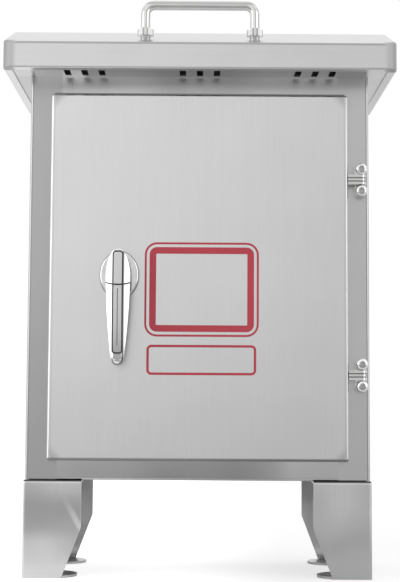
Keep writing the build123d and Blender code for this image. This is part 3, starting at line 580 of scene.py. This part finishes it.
# How much the patterns add to the roughness
GRAIN_GLOSS = 0.06
WIPE_GLOSS = 0.06
CLOUD_GLOSS = 0.12
SPECK_GLOSS = 0.05
CRYSTAL_GLOSS = 0.16
MOULD_GLOSS = 0.1
DUST_GLOSS = 0.08
INK_GLOSS = 0.12


def lay_marks(board, marks, colour, shade, gloss):
    """Lay a piece's marks over its colour and roughness, each with its own tone."""
    for mask, (share, dull) in marks(board) if marks else ():
        shade = board.blend(mask, shade, tone(colour, share))
        if dull:
            gloss = gloss + dull * mask
    return shade, gloss


def brushed_sheet(name, colour, roughness, grain, wave, marks=None):
    """Brushed stainless sheet with fine lines along one axis, faint handling marks and shallow waves."""
    material, board = new_finish(name)
    hairlines = board.noise(GRAIN_FINE, detail=3.0, stretch=grain)
    streaks = board.noise(GRAIN_COARSE, detail=2.0, stretch=grain)
    clouds = board.noise(CLOUD_SCALE, detail=3.0)
    waves = board.noise(PANEL_SCALE, detail=1.0)
    layers = HAIRLINE_SHARE * hairlines + STREAK_SHARE * streaks + CLOUD_SHARE * clouds
    shade = board.blend(board.band(layers, GRAIN_RAMP), *tones(colour, METAL_TONES))
    gloss = (roughness + GRAIN_GLOSS * (hairlines - NOISE_MIDDLE)
             + GRAIN_GLOSS * (clouds - NOISE_MIDDLE))
    shade, gloss = lay_marks(board, marks, colour, shade, gloss)
    board.surface({
        "Base Color": shade,
        "Metallic": 1.0,
        "Roughness": gloss,
        "Normal": board.bump(waves + GRAIN_DEPTH / wave * hairlines, wave),
    })
    return material


def bright_metal(name, colour, roughness, marks=None):
    """Polished or plated metal with faint polishing waves and wiped marks."""
    material, board = new_finish(name)
    wipes = board.noise(POLISH_SCALE, detail=3.0, stretch=POLISH_STRETCH)
    waves = board.noise(WAVE_SCALE, detail=1.0)
    shade = board.blend(board.band(wipes, WIPE_RAMP), *tones(colour, METAL_TONES))
    shade, gloss = lay_marks(board, marks, colour, shade, roughness + WIPE_GLOSS * wipes)
    board.surface({
        "Base Color": shade,
        "Metallic": 1.0,
        "Roughness": gloss,
        "Normal": board.bump(waves, WAVE_DEPTH, strength=0.4),
    })
    return material


# Lines on the lever: the groove round its raised flat, the middle line, the ball's rim and the cap's seam
# The grooves, middle line and ball rim carry painted shade, and the cap's seam a painted shadow
RIB_HALF = 0.004
RIB_CORNER = 0.002
RIB_MIDDLE = LOCK_Z - 0.02925
RIB_REACH = 0.04975
RIB_FLAT = (-0.0005, -0.0001)
RIB_GROOVE = (-0.0002, 0.0002)
RIB_GROOVE_END = (0.0009, 0.0026)
LINE_MIDDLE = LOCK_Z - 0.044
LINE_WIDTH = (0.0003, 0.0006)
LINE_END = (0.0277, 0.0283)
LINE_SHARE = 0.6
TIP_Z = LOCK_Z - 0.086
TIP_RIM = (0.0034, 0.0048)
TIP_TOP = (-0.001, 0.004)
TIP_SHARE = 0.8
SEAM_Z = LOCK_Z + 0.020
SEAM_RADIUS = 0.032
SEAM_WIDTH = (0.0005, 0.0011)
FLANK = (0.004, 0.005)
FLANK_END = (0.005, 0.0082)
LEVER_FRONT = (LEVER_LOW.y + 0.008, LEVER_LOW.y + 0.009)

# Tones of the lever's flank, raised flat and dark lines, and what they add to its roughness
# The right flank and the raised flat carry painted shade
FLANK_SHADE_TONE = 0.10
FLAT_SHADE_TONE = 0.74
DARK_SHADE_TONE = 0.09
LEVER_WIPE_GLOSS = 0.05
FLAT_GLOSS = 0.12
DARK_GLOSS = 0.25


def lever_chrome(name, colour, roughness):
    """Chrome on the lever and its cap: painted shade in its grooves, middle line and ball rim, a painted
    shadow in its seam, painted shade on its right flank and on its rougher raised flat.
    """
    material, board = new_finish(name)
    wipes = board.noise(POLISH_SCALE, detail=3.0, stretch=POLISH_STRETCH)
    offset = board.axis("X") - LEVER_X
    level = board.axis("Z")
    across = abs(offset)
    front = board.under(board.axis("Y"), LEVER_FRONT)
    aside = board.larger(across - RIB_HALF + RIB_CORNER, 0.0)
    beyond = board.larger(abs(level - RIB_MIDDLE) - RIB_REACH + RIB_CORNER, 0.0)
    outside = distance(aside, beyond) - RIB_CORNER
    groove = board.ridge(outside, RIB_GROOVE, RIB_GROOVE_END)
    line = board.under(across, LINE_WIDTH) * board.under(abs(level - LINE_MIDDLE), LINE_END)
    seam = board.under(abs(distance(offset, level - SEAM_Z) - SEAM_RADIUS), SEAM_WIDTH)
    rim = board.band(distance(offset, level - TIP_Z), TIP_RIM) * board.under(level - TIP_Z, TIP_TOP)
    on_rib = board.larger(groove, LINE_SHARE * line)
    on_ends = board.larger(seam, TIP_SHARE * rim)
    dark = board.larger(on_rib, on_ends) * front
    flat = board.under(outside, RIB_FLAT) * front
    flank = board.ridge(offset, FLANK, FLANK_END) * front
    shade = board.blend(board.band(wipes, WIPE_RAMP), *tones(colour, METAL_TONES))
    for mask, share in ((flank, FLANK_SHADE_TONE), (flat, FLAT_SHADE_TONE), (dark, DARK_SHADE_TONE)):
        shade = board.blend(mask, shade, tone(colour, share))
    board.surface({
        "Base Color": shade,
        "Metallic": 1.0,
        "Roughness": roughness + LEVER_WIPE_GLOSS * wipes + FLAT_GLOSS * flat + DARK_GLOSS * dark,
    })
    return material


def plated_steel(name, colour, roughness):
    """Satin metal, plated or bare, with clouds of a cooler tint."""
    material, board = new_finish(name)
    clouds = board.noise(WAVE_SCALE, detail=4.0)
    specks = board.noise(SPECK_SCALE, detail=2.0)
    cool = tuple(part * tint for part, tint in zip(colour, COOL_TINT)) + (1.0,)
    board.surface({
        "Base Color": board.blend(board.band(clouds, CLOUD_RAMP), tone(colour, 1.0), cool),
        "Metallic": 1.0,
        "Roughness": (roughness + CLOUD_GLOSS * (clouds - NOISE_MIDDLE)
                      + SPECK_GLOSS * (specks - NOISE_MIDDLE)),
        "Normal": board.bump(specks, SPECK_DEPTH, strength=0.3),
    })
    return material


def spangled_zinc(name, colour, roughness):
    """Hot-dip galvanised plate with its crystal pattern."""
    material, board = new_finish(name)
    sockets = {"Vector": board.place(), "Scale": SPANGLE_SCALE}
    crystals = board.node("ShaderNodeTexVoronoi", sockets=sockets, output="Color")
    shade = board.node("ShaderNodeSeparateColor", sockets={0: crystals})
    clouds = board.noise(CLOUD_SCALE, detail=3.0)
    layers = CRYSTAL_SHARE * shade + (1.0 - CRYSTAL_SHARE) * clouds
    board.surface({
        "Base Color": board.blend(layers, *tones(colour, CRYSTAL_TONES)),
        "Metallic": 1.0,
        "Roughness": roughness + CRYSTAL_GLOSS * (shade - NOISE_MIDDLE),
        "Normal": board.bump(shade, SPECK_DEPTH, strength=0.2),
    })
    return material


def moulded(name, colour, roughness):
    """Moulded plastic or rubber with a fine grain and a little dust."""
    material, board = new_finish(name)
    grain = board.noise(SPECK_SCALE, detail=3.0)
    dust = board.band(board.noise(CLOUD_SCALE, detail=4.0), DUST_RAMP)
    board.surface({
        "Base Color": board.blend(DUST_SHARE * dust, *tones(colour, DUST_TONES)),
        "Roughness": roughness + MOULD_GLOSS * (grain - NOISE_MIDDLE) + DUST_GLOSS * dust,
        "Normal": board.bump(grain, SPECK_DEPTH, strength=0.5),
    })
    return material


def screen_print(name, colour):
    """Screen-printed ink: even, with faint unevenness of the film."""
    material, board = new_finish(name)
    film = board.noise(INK_SCALE, detail=3.0)
    clouds = board.noise(CLOUD_SCALE, detail=2.0)
    share = board.band(FILM_SHARE * film + (1.0 - FILM_SHARE) * clouds, CLOUD_RAMP)
    board.surface({
        "Base Color": board.blend(share, *tones(colour, INK_TONES)),
        "Roughness": INK_ROUGHNESS + INK_GLOSS * (film - NOISE_MIDDLE),
        "Normal": board.bump(film, SPECK_DEPTH, strength=0.25),
    })
    return material


class CabinetFinishSettings(bpy.types.PropertyGroup):
    """Colours and gloss of the cabinet's finishes."""

    door_colour: bpy.props.FloatVectorProperty(
        name="Door Steel", description="Colour of the door's brushed steel",
        default=(0.75, 0.75, 0.75), subtype="COLOR", min=0.0, max=1.0)
    roof_colour: bpy.props.FloatVectorProperty(
        name="Roof Steel", description="Colour of the brushed steel of the roof and eaves",
        default=(0.70, 0.70, 0.70), subtype="COLOR", min=0.0, max=1.0)
    # The body's steel is the door's stainless set darker, as painted shade
    body_colour: bpy.props.FloatVectorProperty(
        name="Body Steel", description="Colour of the brushed steel of the body",
        default=(0.51, 0.51, 0.51), subtype="COLOR", min=0.0, max=1.0)
    leg_colour: bpy.props.FloatVectorProperty(
        name="Leg Steel", description="Colour of the brushed steel of the legs",
        default=(0.72, 0.72, 0.72), subtype="COLOR", min=0.0, max=1.0)
    leg_roughness: bpy.props.FloatProperty(
        name="Leg Roughness", description="Roughness of the brushed sheet of the legs",
        default=0.20, min=0.05, max=1.0, subtype="FACTOR")
    sill_roughness: bpy.props.FloatProperty(
        name="Sill Roughness", description="Roughness of the brushed sheet of the sill",
        default=0.16, min=0.05, max=1.0, subtype="FACTOR")
    sheet_roughness: bpy.props.FloatProperty(
        name="Sheet Roughness", description="Roughness of the other brushed sheet",
        default=0.30, min=0.05, max=1.0, subtype="FACTOR")
    print_colour: bpy.props.FloatVectorProperty(
        name="Print", description="Colour of the ink on the door",
        default=(0.479, 0.042, 0.065), subtype="COLOR", min=0.0, max=1.0)


class CabinetDetailSettings(bpy.types.PropertyGroup):
    """Sizes of the pieces that the looks add."""

    border_width: bpy.props.FloatProperty(
        name="Border Width", description="Width of the printed border on the door",
        default=0.116, unit="LENGTH")
    border_height: bpy.props.FloatProperty(
        name="Border Height", description="Height of the printed border on the door",
        default=0.096, unit="LENGTH")
    border_line: bpy.props.FloatProperty(
        name="Border Line", description="Width of the border's broad inner line",
        default=0.0068, unit="LENGTH")
    outline_line: bpy.props.FloatProperty(
        name="Outline Line", description="Width of the thin line round the border",
        default=0.0021, unit="LENGTH")
    outline_gap: bpy.props.FloatProperty(
        name="Outline Gap", description="Bare steel between the border's two lines",
        default=0.0028, unit="LENGTH")
    border_corner: bpy.props.FloatProperty(
        name="Border Corner", description="Corner radius of the border's outer line",
        default=0.0125, unit="LENGTH")
    border_rise: bpy.props.FloatProperty(
        name="Border Rise", description="Height of the border's middle over the door's middle",
        default=-0.014, unit="LENGTH")
    field_width: bpy.props.FloatProperty(
        name="Field Width", description="Width of the blank field below the border",
        default=0.111, unit="LENGTH")
    field_height: bpy.props.FloatProperty(
        name="Field Height", description="Height of the blank field below the border",
        default=0.0305, unit="LENGTH")
    field_line: bpy.props.FloatProperty(
        name="Field Line", description="Width of the field's line", default=0.0025, unit="LENGTH")
    field_corner: bpy.props.FloatProperty(
        name="Field Corner", description="Corner radius of the field", default=0.005, unit="LENGTH")
    field_rise: bpy.props.FloatProperty(
        name="Field Rise", description="Height of the field's middle over the door's middle",
        default=-0.0855, unit="LENGTH")
    print_offset: bpy.props.FloatProperty(
        name="Print Offset", description="Distance of the print to the right of the door's middle",
        default=0.003, unit="LENGTH")
    ink_film: bpy.props.FloatProperty(
        name="Ink Film", description="Thickness of the printed film", default=0.00012, unit="LENGTH",
        precision=5)
    thread_pitch: bpy.props.FloatProperty(
        name="Thread Pitch", description="Pitch of the thread on the carry handle",
        default=0.00125, unit="LENGTH", precision=5)
    thread_height: bpy.props.FloatProperty(
        name="Thread Height", description="Height of the thread over the rod",
        default=0.00012, unit="LENGTH", precision=5)
    bead_radius: bpy.props.FloatProperty(
        name="Bead Radius", description="Radius of the weld beads on the feet",
        default=0.0016, unit="LENGTH", precision=5)
    bead_pitch: bpy.props.FloatProperty(
        name="Bead Pitch", description="Distance between the ripples of a weld bead",
        default=0.0014, unit="LENGTH", precision=5)


class CabinetStageSettings(bpy.types.PropertyGroup):
    """Camera, floor and light of the studio."""

    camera_place: bpy.props.FloatVectorProperty(
        name="Camera", description="Place of the camera",
        default=(-0.00243, -1.3858, 0.1815), subtype="TRANSLATION", unit="LENGTH")
    camera_pitch: bpy.props.FloatProperty(
        name="Pitch", description="Upward tilt of the camera", default=radians(4.756), subtype="ANGLE")
    camera_yaw: bpy.props.FloatProperty(
        name="Yaw", description="Turn of the camera to the right", default=radians(0.166), subtype="ANGLE")
    camera_roll: bpy.props.FloatProperty(
        name="Roll", description="Lean of the camera", default=radians(0.333), subtype="ANGLE")
    camera_lens: bpy.props.FloatProperty(
        name="Lens", description="Focal length on a 36 mm sensor", default=79.41, unit="CAMERA")
    floor_size: bpy.props.FloatProperty(
        name="Floor Size", description="Side of the floor", default=5.0, unit="LENGTH")
    key_power: bpy.props.FloatProperty(
        name="Key Power", description="Power of the soft box at the left", default=7.0, unit="POWER")
    key_size: bpy.props.FloatProperty(
        name="Key Size", description="Height of the soft boxes", default=1.5, unit="LENGTH")


def clear_selection():
    """Leave edit mode and select nothing."""
    if bpy.context.object and bpy.context.object.mode != "OBJECT":
        bpy.ops.object.mode_set(mode="OBJECT")
    bpy.ops.object.select_all(action="DESELECT")


def edit_all():
    """Enter edit mode with all of the mesh selected."""
    bpy.ops.object.mode_set(mode="EDIT")
    bpy.ops.mesh.select_all(action="SELECT")


def end_edit():
    """Go back to object mode."""
    bpy.ops.object.mode_set(mode="OBJECT")


def face_outwards():
    """Turn the faces of the active piece outwards."""
    edit_all()
    bpy.ops.mesh.normals_make_consistent(inside=False)
    end_edit()


def apply_modifier(piece, kind, settings):
    """Add a modifier to a piece, set it and apply it."""
    bpy.context.view_layer.objects.active = piece
    modifier = piece.modifiers.new(kind.title(), kind)
    for name, value in settings.items():
        setattr(modifier, name, value)
    bpy.ops.object.modifier_apply(modifier=modifier.name)


def copy_piece(first):
    """Give a copy of a piece with its own mesh."""
    piece = first.copy()
    piece.data = first.data.copy()
    bpy.context.scene.collection.objects.link(piece)
    return piece


def settle(piece, name, body, material):
    """Put a finished piece's place in its mesh, name it, dress it and let it ride."""
    clear_selection()
    piece.select_set(True)
    bpy.context.view_layer.objects.active = piece
    bpy.ops.object.transform_apply(location=True, rotation=True, scale=True)
    piece.name = name
    piece.data.name = name
    piece.data.materials.clear()
    piece.data.materials.append(material)
    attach(piece, body)


# Colours and roughness of the finishes that have no settings
POLISHED_STEEL = ((0.76, 0.76, 0.755), 0.06)
LOCK_CHROME = ((0.70, 0.70, 0.70), 0.12)
ZINC_PLATE = ((0.62, 0.63, 0.65), 0.36)
GALVANISED_PLATE = ((0.58, 0.60, 0.62), 0.42)
BRASS = ((0.72, 0.52, 0.22), 0.28)
SPACER_PLASTIC = ((0.03, 0.03, 0.032), 0.5)
RUBBER = ((0.022, 0.022, 0.023), 0.75)
LEVER_CHROME = ((0.88, 0.88, 0.885), 0.05)
ARM_STEEL = ((0.78, 0.78, 0.775), 0.08)
NUT_STEEL = ((0.96, 0.96, 0.955), 0.06)
SCREW_STEEL = ((0.95, 0.95, 0.945), 0.06)
WELD_STEEL = ((0.5, 0.48, 0.46), 0.42)


class CABINET_OT_finish_nodes(bpy.types.Operator):
    """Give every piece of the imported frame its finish"""

    bl_idname = "cabinet.finish_nodes"
    bl_label = "Finish Frame"

    def execute(self, context):
        finish = context.scene.cabinet_finish
        by_slot = self.slot_finishes(finish)
        by_node = self.node_finishes(finish)
        for entry in frame["record"]["subparts"]:
            node = frame["nodes"][entry["node"]]
            node.data.materials.clear()
            node.data.materials.append(by_node.get(entry["node"], by_slot[entry["material_slot"]]))
        return {"FINISHED"}

    def slot_finishes(self, finish):
        """Make the finish of each of the record's material slots."""
        return {
            "stainless_sheet": brushed_sheet(
                "body_steel", finish.body_colour, finish.sheet_roughness, GRAIN_UPRIGHT, BODY_WAVE),
            "polished_steel": bright_metal("polished_steel", *POLISHED_STEEL),
            "lock_chrome": bright_metal("lock_chrome", *LOCK_CHROME, rosette_marks),
            "zinc_plated": plated_steel("zinc_plated", *ZINC_PLATE),
            "galvanised_plate": spangled_zinc("galvanised_plate", *GALVANISED_PLATE),
            "brass": plated_steel("brass", *BRASS),
            "spacer_plastic": moulded("spacer_plastic", *SPACER_PLASTIC),
            "rubber": moulded("rubber", *RUBBER),
        }

    def node_finishes(self, finish):
        """Make the finishes of the nodes that have marks of their own."""
        rough = finish.sheet_roughness
        door = brushed_sheet("door_steel", finish.door_colour, rough, GRAIN_UPRIGHT, FRONT_WAVE, door_marks)
        roof = brushed_sheet("roof_steel", finish.roof_colour, rough, GRAIN_ACROSS, FRONT_WAVE, roof_marks)
        eaves = brushed_sheet("eaves_steel", finish.roof_colour, rough, GRAIN_ACROSS, FRONT_WAVE,
                              eaves_marks)
        side = brushed_sheet("side_steel", finish.body_colour, rough, GRAIN_UPRIGHT, BODY_WAVE, side_marks)
        header = brushed_sheet("header_steel", finish.body_colour, rough, GRAIN_ACROSS, BODY_WAVE,
                               header_marks)
        sill = brushed_sheet("sill_steel", finish.body_colour, finish.sill_roughness, GRAIN_ACROSS,
                             BODY_WAVE, sill_marks)
        leg = brushed_sheet("leg_steel", finish.leg_colour, finish.leg_roughness, GRAIN_UPRIGHT, LEG_WAVE,
                            leg_marks)
        lever = lever_chrome("lever_chrome", *LEVER_CHROME)
        arm = bright_metal("arm_steel", *ARM_STEEL, arm_marks)
        screw = bright_metal("screw_steel", *SCREW_STEEL, screw_marks)
        handle = bright_metal("handle_steel", *POLISHED_STEEL, handle_marks)
        nut = bright_metal("nut_steel", *NUT_STEEL, nut_marks)
        return {
            "door_panel": door, "roof_hood": roof, "eaves_front": eaves, "eaves_right": eaves,
            "side_panel_left": side, "side_panel_right": side, "header_rail": header, "floor_panel": sill,
            "leg_front_left": leg, "leg_front_right": leg, "leg_rear_left": leg, "leg_rear_right": leg,
            "lock_lever": lever, "dust_cap": lever, "hinge_arm_upper": arm, "hinge_arm_lower": arm,
            "hinge_screws": screw, "carry_handle": handle, "handle_nuts": nut,
        }


# Steps in a rounded corner of the print
CORNER_SEGMENTS = 6


def printed_frame(width, height, line, corner, film, centre):
    """Model a rounded frame of ink that lies on the door's face."""
    clear_selection()
    bpy.ops.mesh.primitive_plane_add(size=1.0, location=centre, rotation=(QUARTER_TURN, 0, 0))
    piece = bpy.context.object
    piece.scale = (width, height, 1.0)
    bpy.ops.object.transform_apply(location=False, rotation=True, scale=True)
    edit_all()
    bpy.ops.mesh.bevel(affect="VERTICES", offset=corner, offset_type="OFFSET", segments=CORNER_SEGMENTS)
    bpy.ops.mesh.select_all(action="SELECT")
    bpy.ops.mesh.inset(thickness=line)
    bpy.ops.mesh.delete(type="FACE")
    end_edit()
    apply_modifier(piece, "SOLIDIFY", {"thickness": film, "offset": -1.0})
    return piece


class CABINET_OT_door_print(bpy.types.Operator):
    """Print a blank border and a blank field on the door"""

    bl_idname = "cabinet.door_print"
    bl_label = "Door Print"

    def execute(self, context):
        detail = context.scene.cabinet_detail
        ink = screen_print("red_ink", context.scene.cabinet_finish.print_colour)
        step = detail.outline_line + detail.outline_gap
        frames = (
            ("print_outline", detail.border_width, detail.border_height, detail.outline_line,
             detail.border_corner, detail.border_rise),
            ("print_border", detail.border_width - 2 * step, detail.border_height - 2 * step,
             detail.border_line, detail.border_corner - step, detail.border_rise),
            ("print_field", detail.field_width, detail.field_height, detail.field_line,
             detail.field_corner, detail.field_rise),
        )
        for name, width, height, line, corner, rise in frames:
            centre = (DOOR_MIDDLE.x + detail.print_offset, DOOR_FACE - detail.ink_film,
                      DOOR_MIDDLE.z + rise)
            piece = printed_frame(width, height, line, corner, detail.ink_film, centre)
            settle(piece, name, "door", ink)
        return {"FINISHED"}


# Thread: how far below the nut's top it ends, its profile's radius in pitches, and its steps to a turn
THREAD_COVER = 0.004
THREAD_SHARE = 0.5
THREAD_SIDES = 3
THREAD_STEPS = 32


class CABINET_OT_handle_threads(bpy.types.Operator):
    """Cut the thread on both ends of the carry handle"""

    bl_idname = "cabinet.handle_threads"
    bl_label = "Handle Threads"

    def execute(self, context):
        pitch = context.scene.cabinet_detail.thread_pitch
        first = self.coil(pitch, ROD_RADIUS + context.scene.cabinet_detail.thread_height)
        steel = bpy.data.materials["polished_steel"]
        ends = (("left", HANDLE_LOW.x + ROD_RADIUS), ("right", HANDLE_HIGH.x - ROD_RADIUS))
        for side, rod_x in ends:
            coil = copy_piece(first)
            coil.location = (rod_x, ROD_Y, HANDLE_LOW.z + pitch)
            settle(coil, "handle_thread_" + side, "cabinet", steel)
        bpy.data.objects.remove(first)
        return {"FINISHED"}

    def coil(self, pitch, radius):
        """Wind a three-sided profile round the rod, with its tip at that radius."""
        clear_selection()
        bpy.ops.mesh.primitive_circle_add(
            vertices=THREAD_SIDES, radius=pitch * THREAD_SHARE, rotation=(QUARTER_TURN, 0, 0))
        coil = bpy.context.object
        bpy.ops.object.transform_apply(rotation=True)
        edit_all()
        bpy.ops.transform.rotate(value=QUARTER_TURN, orient_axis="Y", center_override=(0, 0, 0))
        end_edit()
        reach = max(vertex.co.x for vertex in coil.data.vertices)
        edit_all()
        bpy.ops.transform.translate(value=(radius - reach, 0, 0))
        end_edit()
        turns = int((NUTS_HIGH.z - THREAD_COVER - HANDLE_LOW.z) / pitch)
        apply_modifier(coil, "SCREW", {
            "screw_offset": pitch, "iterations": turns, "axis": "Z", "steps": THREAD_STEPS,
            "render_steps": THREAD_STEPS, "use_merge_vertices": True,
        })
        bpy.ops.object.mode_set(mode="EDIT")
        bpy.ops.mesh.select_all(action="DESELECT")
        bpy.ops.mesh.select_mode(type="EDGE")
        bpy.ops.mesh.select_non_manifold()
        bpy.ops.mesh.fill_holes(sides=0)
        face_outwards()
        return coil


# Weld beads: their length and place on the foot, their sides, and how far a ripple narrows
BEAD_SHARE = 0.36
BEAD_SIDES = 10
RIPPLE_SHARE = 0.86
LEG_SHEET = 0.002
CORNERS = (("front_left", 1, 1), ("front_right", -1, 1), ("rear_left", 1, -1), ("rear_right", -1, -1))


class CABINET_OT_foot_welds(bpy.types.Operator):
    """Run a rippled weld bead between each leg and its foot disc"""

    bl_idname = "cabinet.foot_welds"
    bl_label = "Foot Welds"

    def execute(self, context):
        detail = context.scene.cabinet_detail
        steel = plated_steel("weld_steel", *WELD_STEEL)
        first = self.bead(detail.bead_radius, detail.bead_pitch)
        for corner, side_x, side_y in CORNERS:
            bead = copy_piece(first)
            bead.scale = (side_x, side_y, 1.0)
            settle(bead, "weld_" + corner, "cabinet", steel)
            face_outwards()
        bpy.data.objects.remove(first)
        return {"FINISHED"}

    def bead(self, radius, pitch):
        """Model the bead of the front left foot, ripple by ripple along the leg's inner face."""
        half = (FOOT_HIGH.x - FOOT_LOW.x) / 2 * BEAD_SHARE
        start = (FOOT_LOW.x + FOOT_HIGH.x) / 2 - half
        clear_selection()
        bpy.ops.mesh.primitive_circle_add(
            vertices=BEAD_SIDES, radius=radius, fill_type="NGON", rotation=(0, QUARTER_TURN, 0))
        bead = bpy.context.object
        bpy.ops.object.transform_apply(rotation=True)
        edit_all()
        for ripple in range(2 * int(half * 2 / pitch)):
            bpy.ops.mesh.extrude_region_move(TRANSFORM_OT_translate={"value": (pitch / 2, 0, 0)})
            share = RIPPLE_SHARE if ripple % 2 else 1 / RIPPLE_SHARE
            bpy.ops.transform.resize(value=(1.0, share, share))
        face_outwards()
        bpy.ops.object.shade_smooth()
        bead.location = (start, LEG_LOW.y + LEG_SHEET + radius / 2, FOOT_HIGH.z + radius / 2)
        bpy.ops.object.transform_apply(location=True)
        return bead


# Floor: colours, glow, corners, and the part near the camera and the part behind the cabinet
FLOOR_GREY = (0.42, 0.42, 0.42, 1.0)
FLOOR_PALE = (0.8, 0.8, 0.8, 1.0)
FLOOR_GLOW = 0.6
FLOOR_CORNER_SHARE = 1 / 3
FLOOR_SEGMENTS = 12
FLOOR_NEAR = (-0.46, -0.24)
FLOOR_LEFT = (-0.06, 0.12)
FLOOR_BEHIND = (-0.40, -0.20)
MIRROR_SHARE = 0.4

# Room: directions in which it is dimmer, how much, and the directions behind the cabinet
ROOM_AHEAD = (0.45, 1.0)
ROOM_SLANT = (-0.45, 0.45)
SLANT_UP = 0.5
SLANT_ACROSS = 1.8
ROOM_SIDES = (0.50, 0.95)
ROOM_BEHIND = (0.30, 0.70)
DIM_SHARE = 0.42
SIDE_SHARE = 0.25

# Soft boxes: their places and shares of the power, and their width in heights
SOFT_BOXES = (("left", (-1.745, -1.033, 0.7), 1.0), ("right", (1.457, -1.235, 0.7), 0.7))
BOX_SHARE = 0.6

SENSOR_WIDTH = 36.0
CLIP_START = 0.01


class CABINET_OT_stage(bpy.types.Operator):
    """Set up the floor, the light and the camera"""

    bl_idname = "cabinet.stage"
    bl_label = "Studio"

    def execute(self, context):
        stage = context.scene.cabinet_stage
        self.add_floor(stage)
        self.add_world(context)
        self.add_lamps(stage)
        self.add_camera(context, stage)
        context.scene.view_settings.view_transform = "Standard"
        return {"FINISHED"}

    def add_floor(self, stage):
        """Lay a rounded pale floor that keeps the cabinet's shadow."""
        clear_selection()
        bpy.ops.mesh.primitive_plane_add(size=stage.floor_size)
        floor = bpy.context.object
        floor.name = "studio_floor"
        edit_all()
        bpy.ops.mesh.bevel(
            affect="VERTICES", offset=stage.floor_size * FLOOR_CORNER_SHARE, segments=FLOOR_SEGMENTS)
        end_edit()
        material, board = new_finish("studio_floor")
        camera, glossy, clear = board.rays()
        along = board.axis("Y")
        near = board.band(along, FLOOR_NEAR) * board.under(board.axis("X"), FLOOR_LEFT)
        colour = board.blend(near, FLOOR_GREY, FLOOR_PALE)
        seen = camera + clear + MIRROR_SHARE * glossy * board.band(along, FLOOR_BEHIND)
        matt = board.node("ShaderNodeBsdfDiffuse", sockets={"Color": colour})
        glow = board.node("ShaderNodeEmission", sockets={"Strength": FLOOR_GLOW * seen})
        both = board.node("ShaderNodeAddShader", sockets={0: matt, 1: glow})
        board.node("ShaderNodeOutputMaterial", sockets={"Surface": both})
        floor.data.materials.append(material)

    def add_world(self, context):
        """Light the cabinet by a pale room, dimmer low on the right and at the sides, and white behind."""
        world = bpy.data.worlds.new("studio")
        world.use_nodes = True
        context.scene.world = world
        board = Board(world.node_tree)
        way = board.node("ShaderNodeTexCoord", output="Generated")
        across, along, up = [board.node("ShaderNodeSeparateXYZ", sockets={0: way}, output=axis)
                             for axis in "XYZ"]
        camera, glossy, clear = board.rays()
        ahead = board.band(-1.0 * along, ROOM_AHEAD)
        low_right = board.under(up * SLANT_UP - across * SLANT_ACROSS, ROOM_SLANT)
        sides = board.band(abs(across), ROOM_SIDES)
        room = (1.0 - DIM_SHARE * ahead * low_right) * (1.0 - SIDE_SHARE * sides)
        white = camera + clear + glossy * board.band(along, ROOM_BEHIND)
        level = white + (1.0 - white) * room
        light = board.node("ShaderNodeBackground", sockets={"Color": WHITE, "Strength": level})
        board.node("ShaderNodeOutputWorld", sockets={"Surface": light})

    def add_lamps(self, stage):
        """Stand a soft box at each side, turned to the middle of the door."""
        for side, place, share in SOFT_BOXES:
            aim = (DOOR_MIDDLE - Vector(place)).to_track_quat("-Z", "Y").to_euler()
            bpy.ops.object.light_add(type="AREA", location=place, rotation=aim)
            lamp = bpy.context.object
            lamp.name = "soft_box_" + side
            lamp.data.shape = "RECTANGLE"
            lamp.data.energy = stage.key_power * share
            lamp.data.size = stage.key_size * BOX_SHARE
            lamp.data.size_y = stage.key_size

    def add_camera(self, context, stage):
        """Put the camera where the photograph was taken from."""
        bpy.ops.object.camera_add()
        camera = bpy.context.object
        turn = (Matrix.Rotation(-stage.camera_yaw, 4, "Z")
                @ Matrix.Rotation(QUARTER_TURN + stage.camera_pitch, 4, "X")
                @ Matrix.Rotation(stage.camera_roll, 4, "Z"))
        camera.matrix_world = Matrix.Translation(stage.camera_place) @ turn
        camera.data.lens = stage.camera_lens
        camera.data.sensor_width = SENSOR_WIDTH
        camera.data.clip_start = CLIP_START
        context.scene.camera = camera


GROUPS = {
    "cabinet_finish": CabinetFinishSettings,
    "cabinet_detail": CabinetDetailSettings,
    "cabinet_stage": CabinetStageSettings,
}
STEPS = (CABINET_OT_finish_nodes, CABINET_OT_door_print, CABINET_OT_handle_threads, CABINET_OT_foot_welds,
         CABINET_OT_stage)


class CABINET_PT_sidebar(bpy.types.Panel):
    """Lists the settings and the steps that dress the cabinet"""

    bl_idname = "CABINET_PT_sidebar"
    bl_label = "Cabinet"
    bl_space_type = "VIEW_3D"
    bl_region_type = "UI"
    bl_category = "Cabinet"

    def draw(self, context):
        for group in GROUPS:
            settings = getattr(context.scene, group)
            box = self.layout.box()
            for name in settings.__annotations__:
                box.prop(settings, name)
        for step in STEPS:
            self.layout.operator(step.bl_idname)


def register():
    for name, group in GROUPS.items():
        bpy.utils.register_class(group)
        setattr(bpy.types.Scene, name, bpy.props.PointerProperty(type=group))
    for step in STEPS:
        bpy.utils.register_class(step)
    bpy.utils.register_class(CABINET_PT_sidebar)


def unregister():
    bpy.utils.unregister_class(CABINET_PT_sidebar)
    for step in reversed(STEPS):
        bpy.utils.unregister_class(step)
    for name, group in reversed(GROUPS.items()):
        delattr(bpy.types.Scene, name)
        bpy.utils.unregister_class(group)


def main():
    register()
    bpy.ops.cabinet.finish_nodes()
    bpy.ops.cabinet.door_print()
    bpy.ops.cabinet.handle_threads()
    bpy.ops.cabinet.foot_welds()
    bpy.ops.cabinet.stage()


if __name__ == "__main__":
    main()
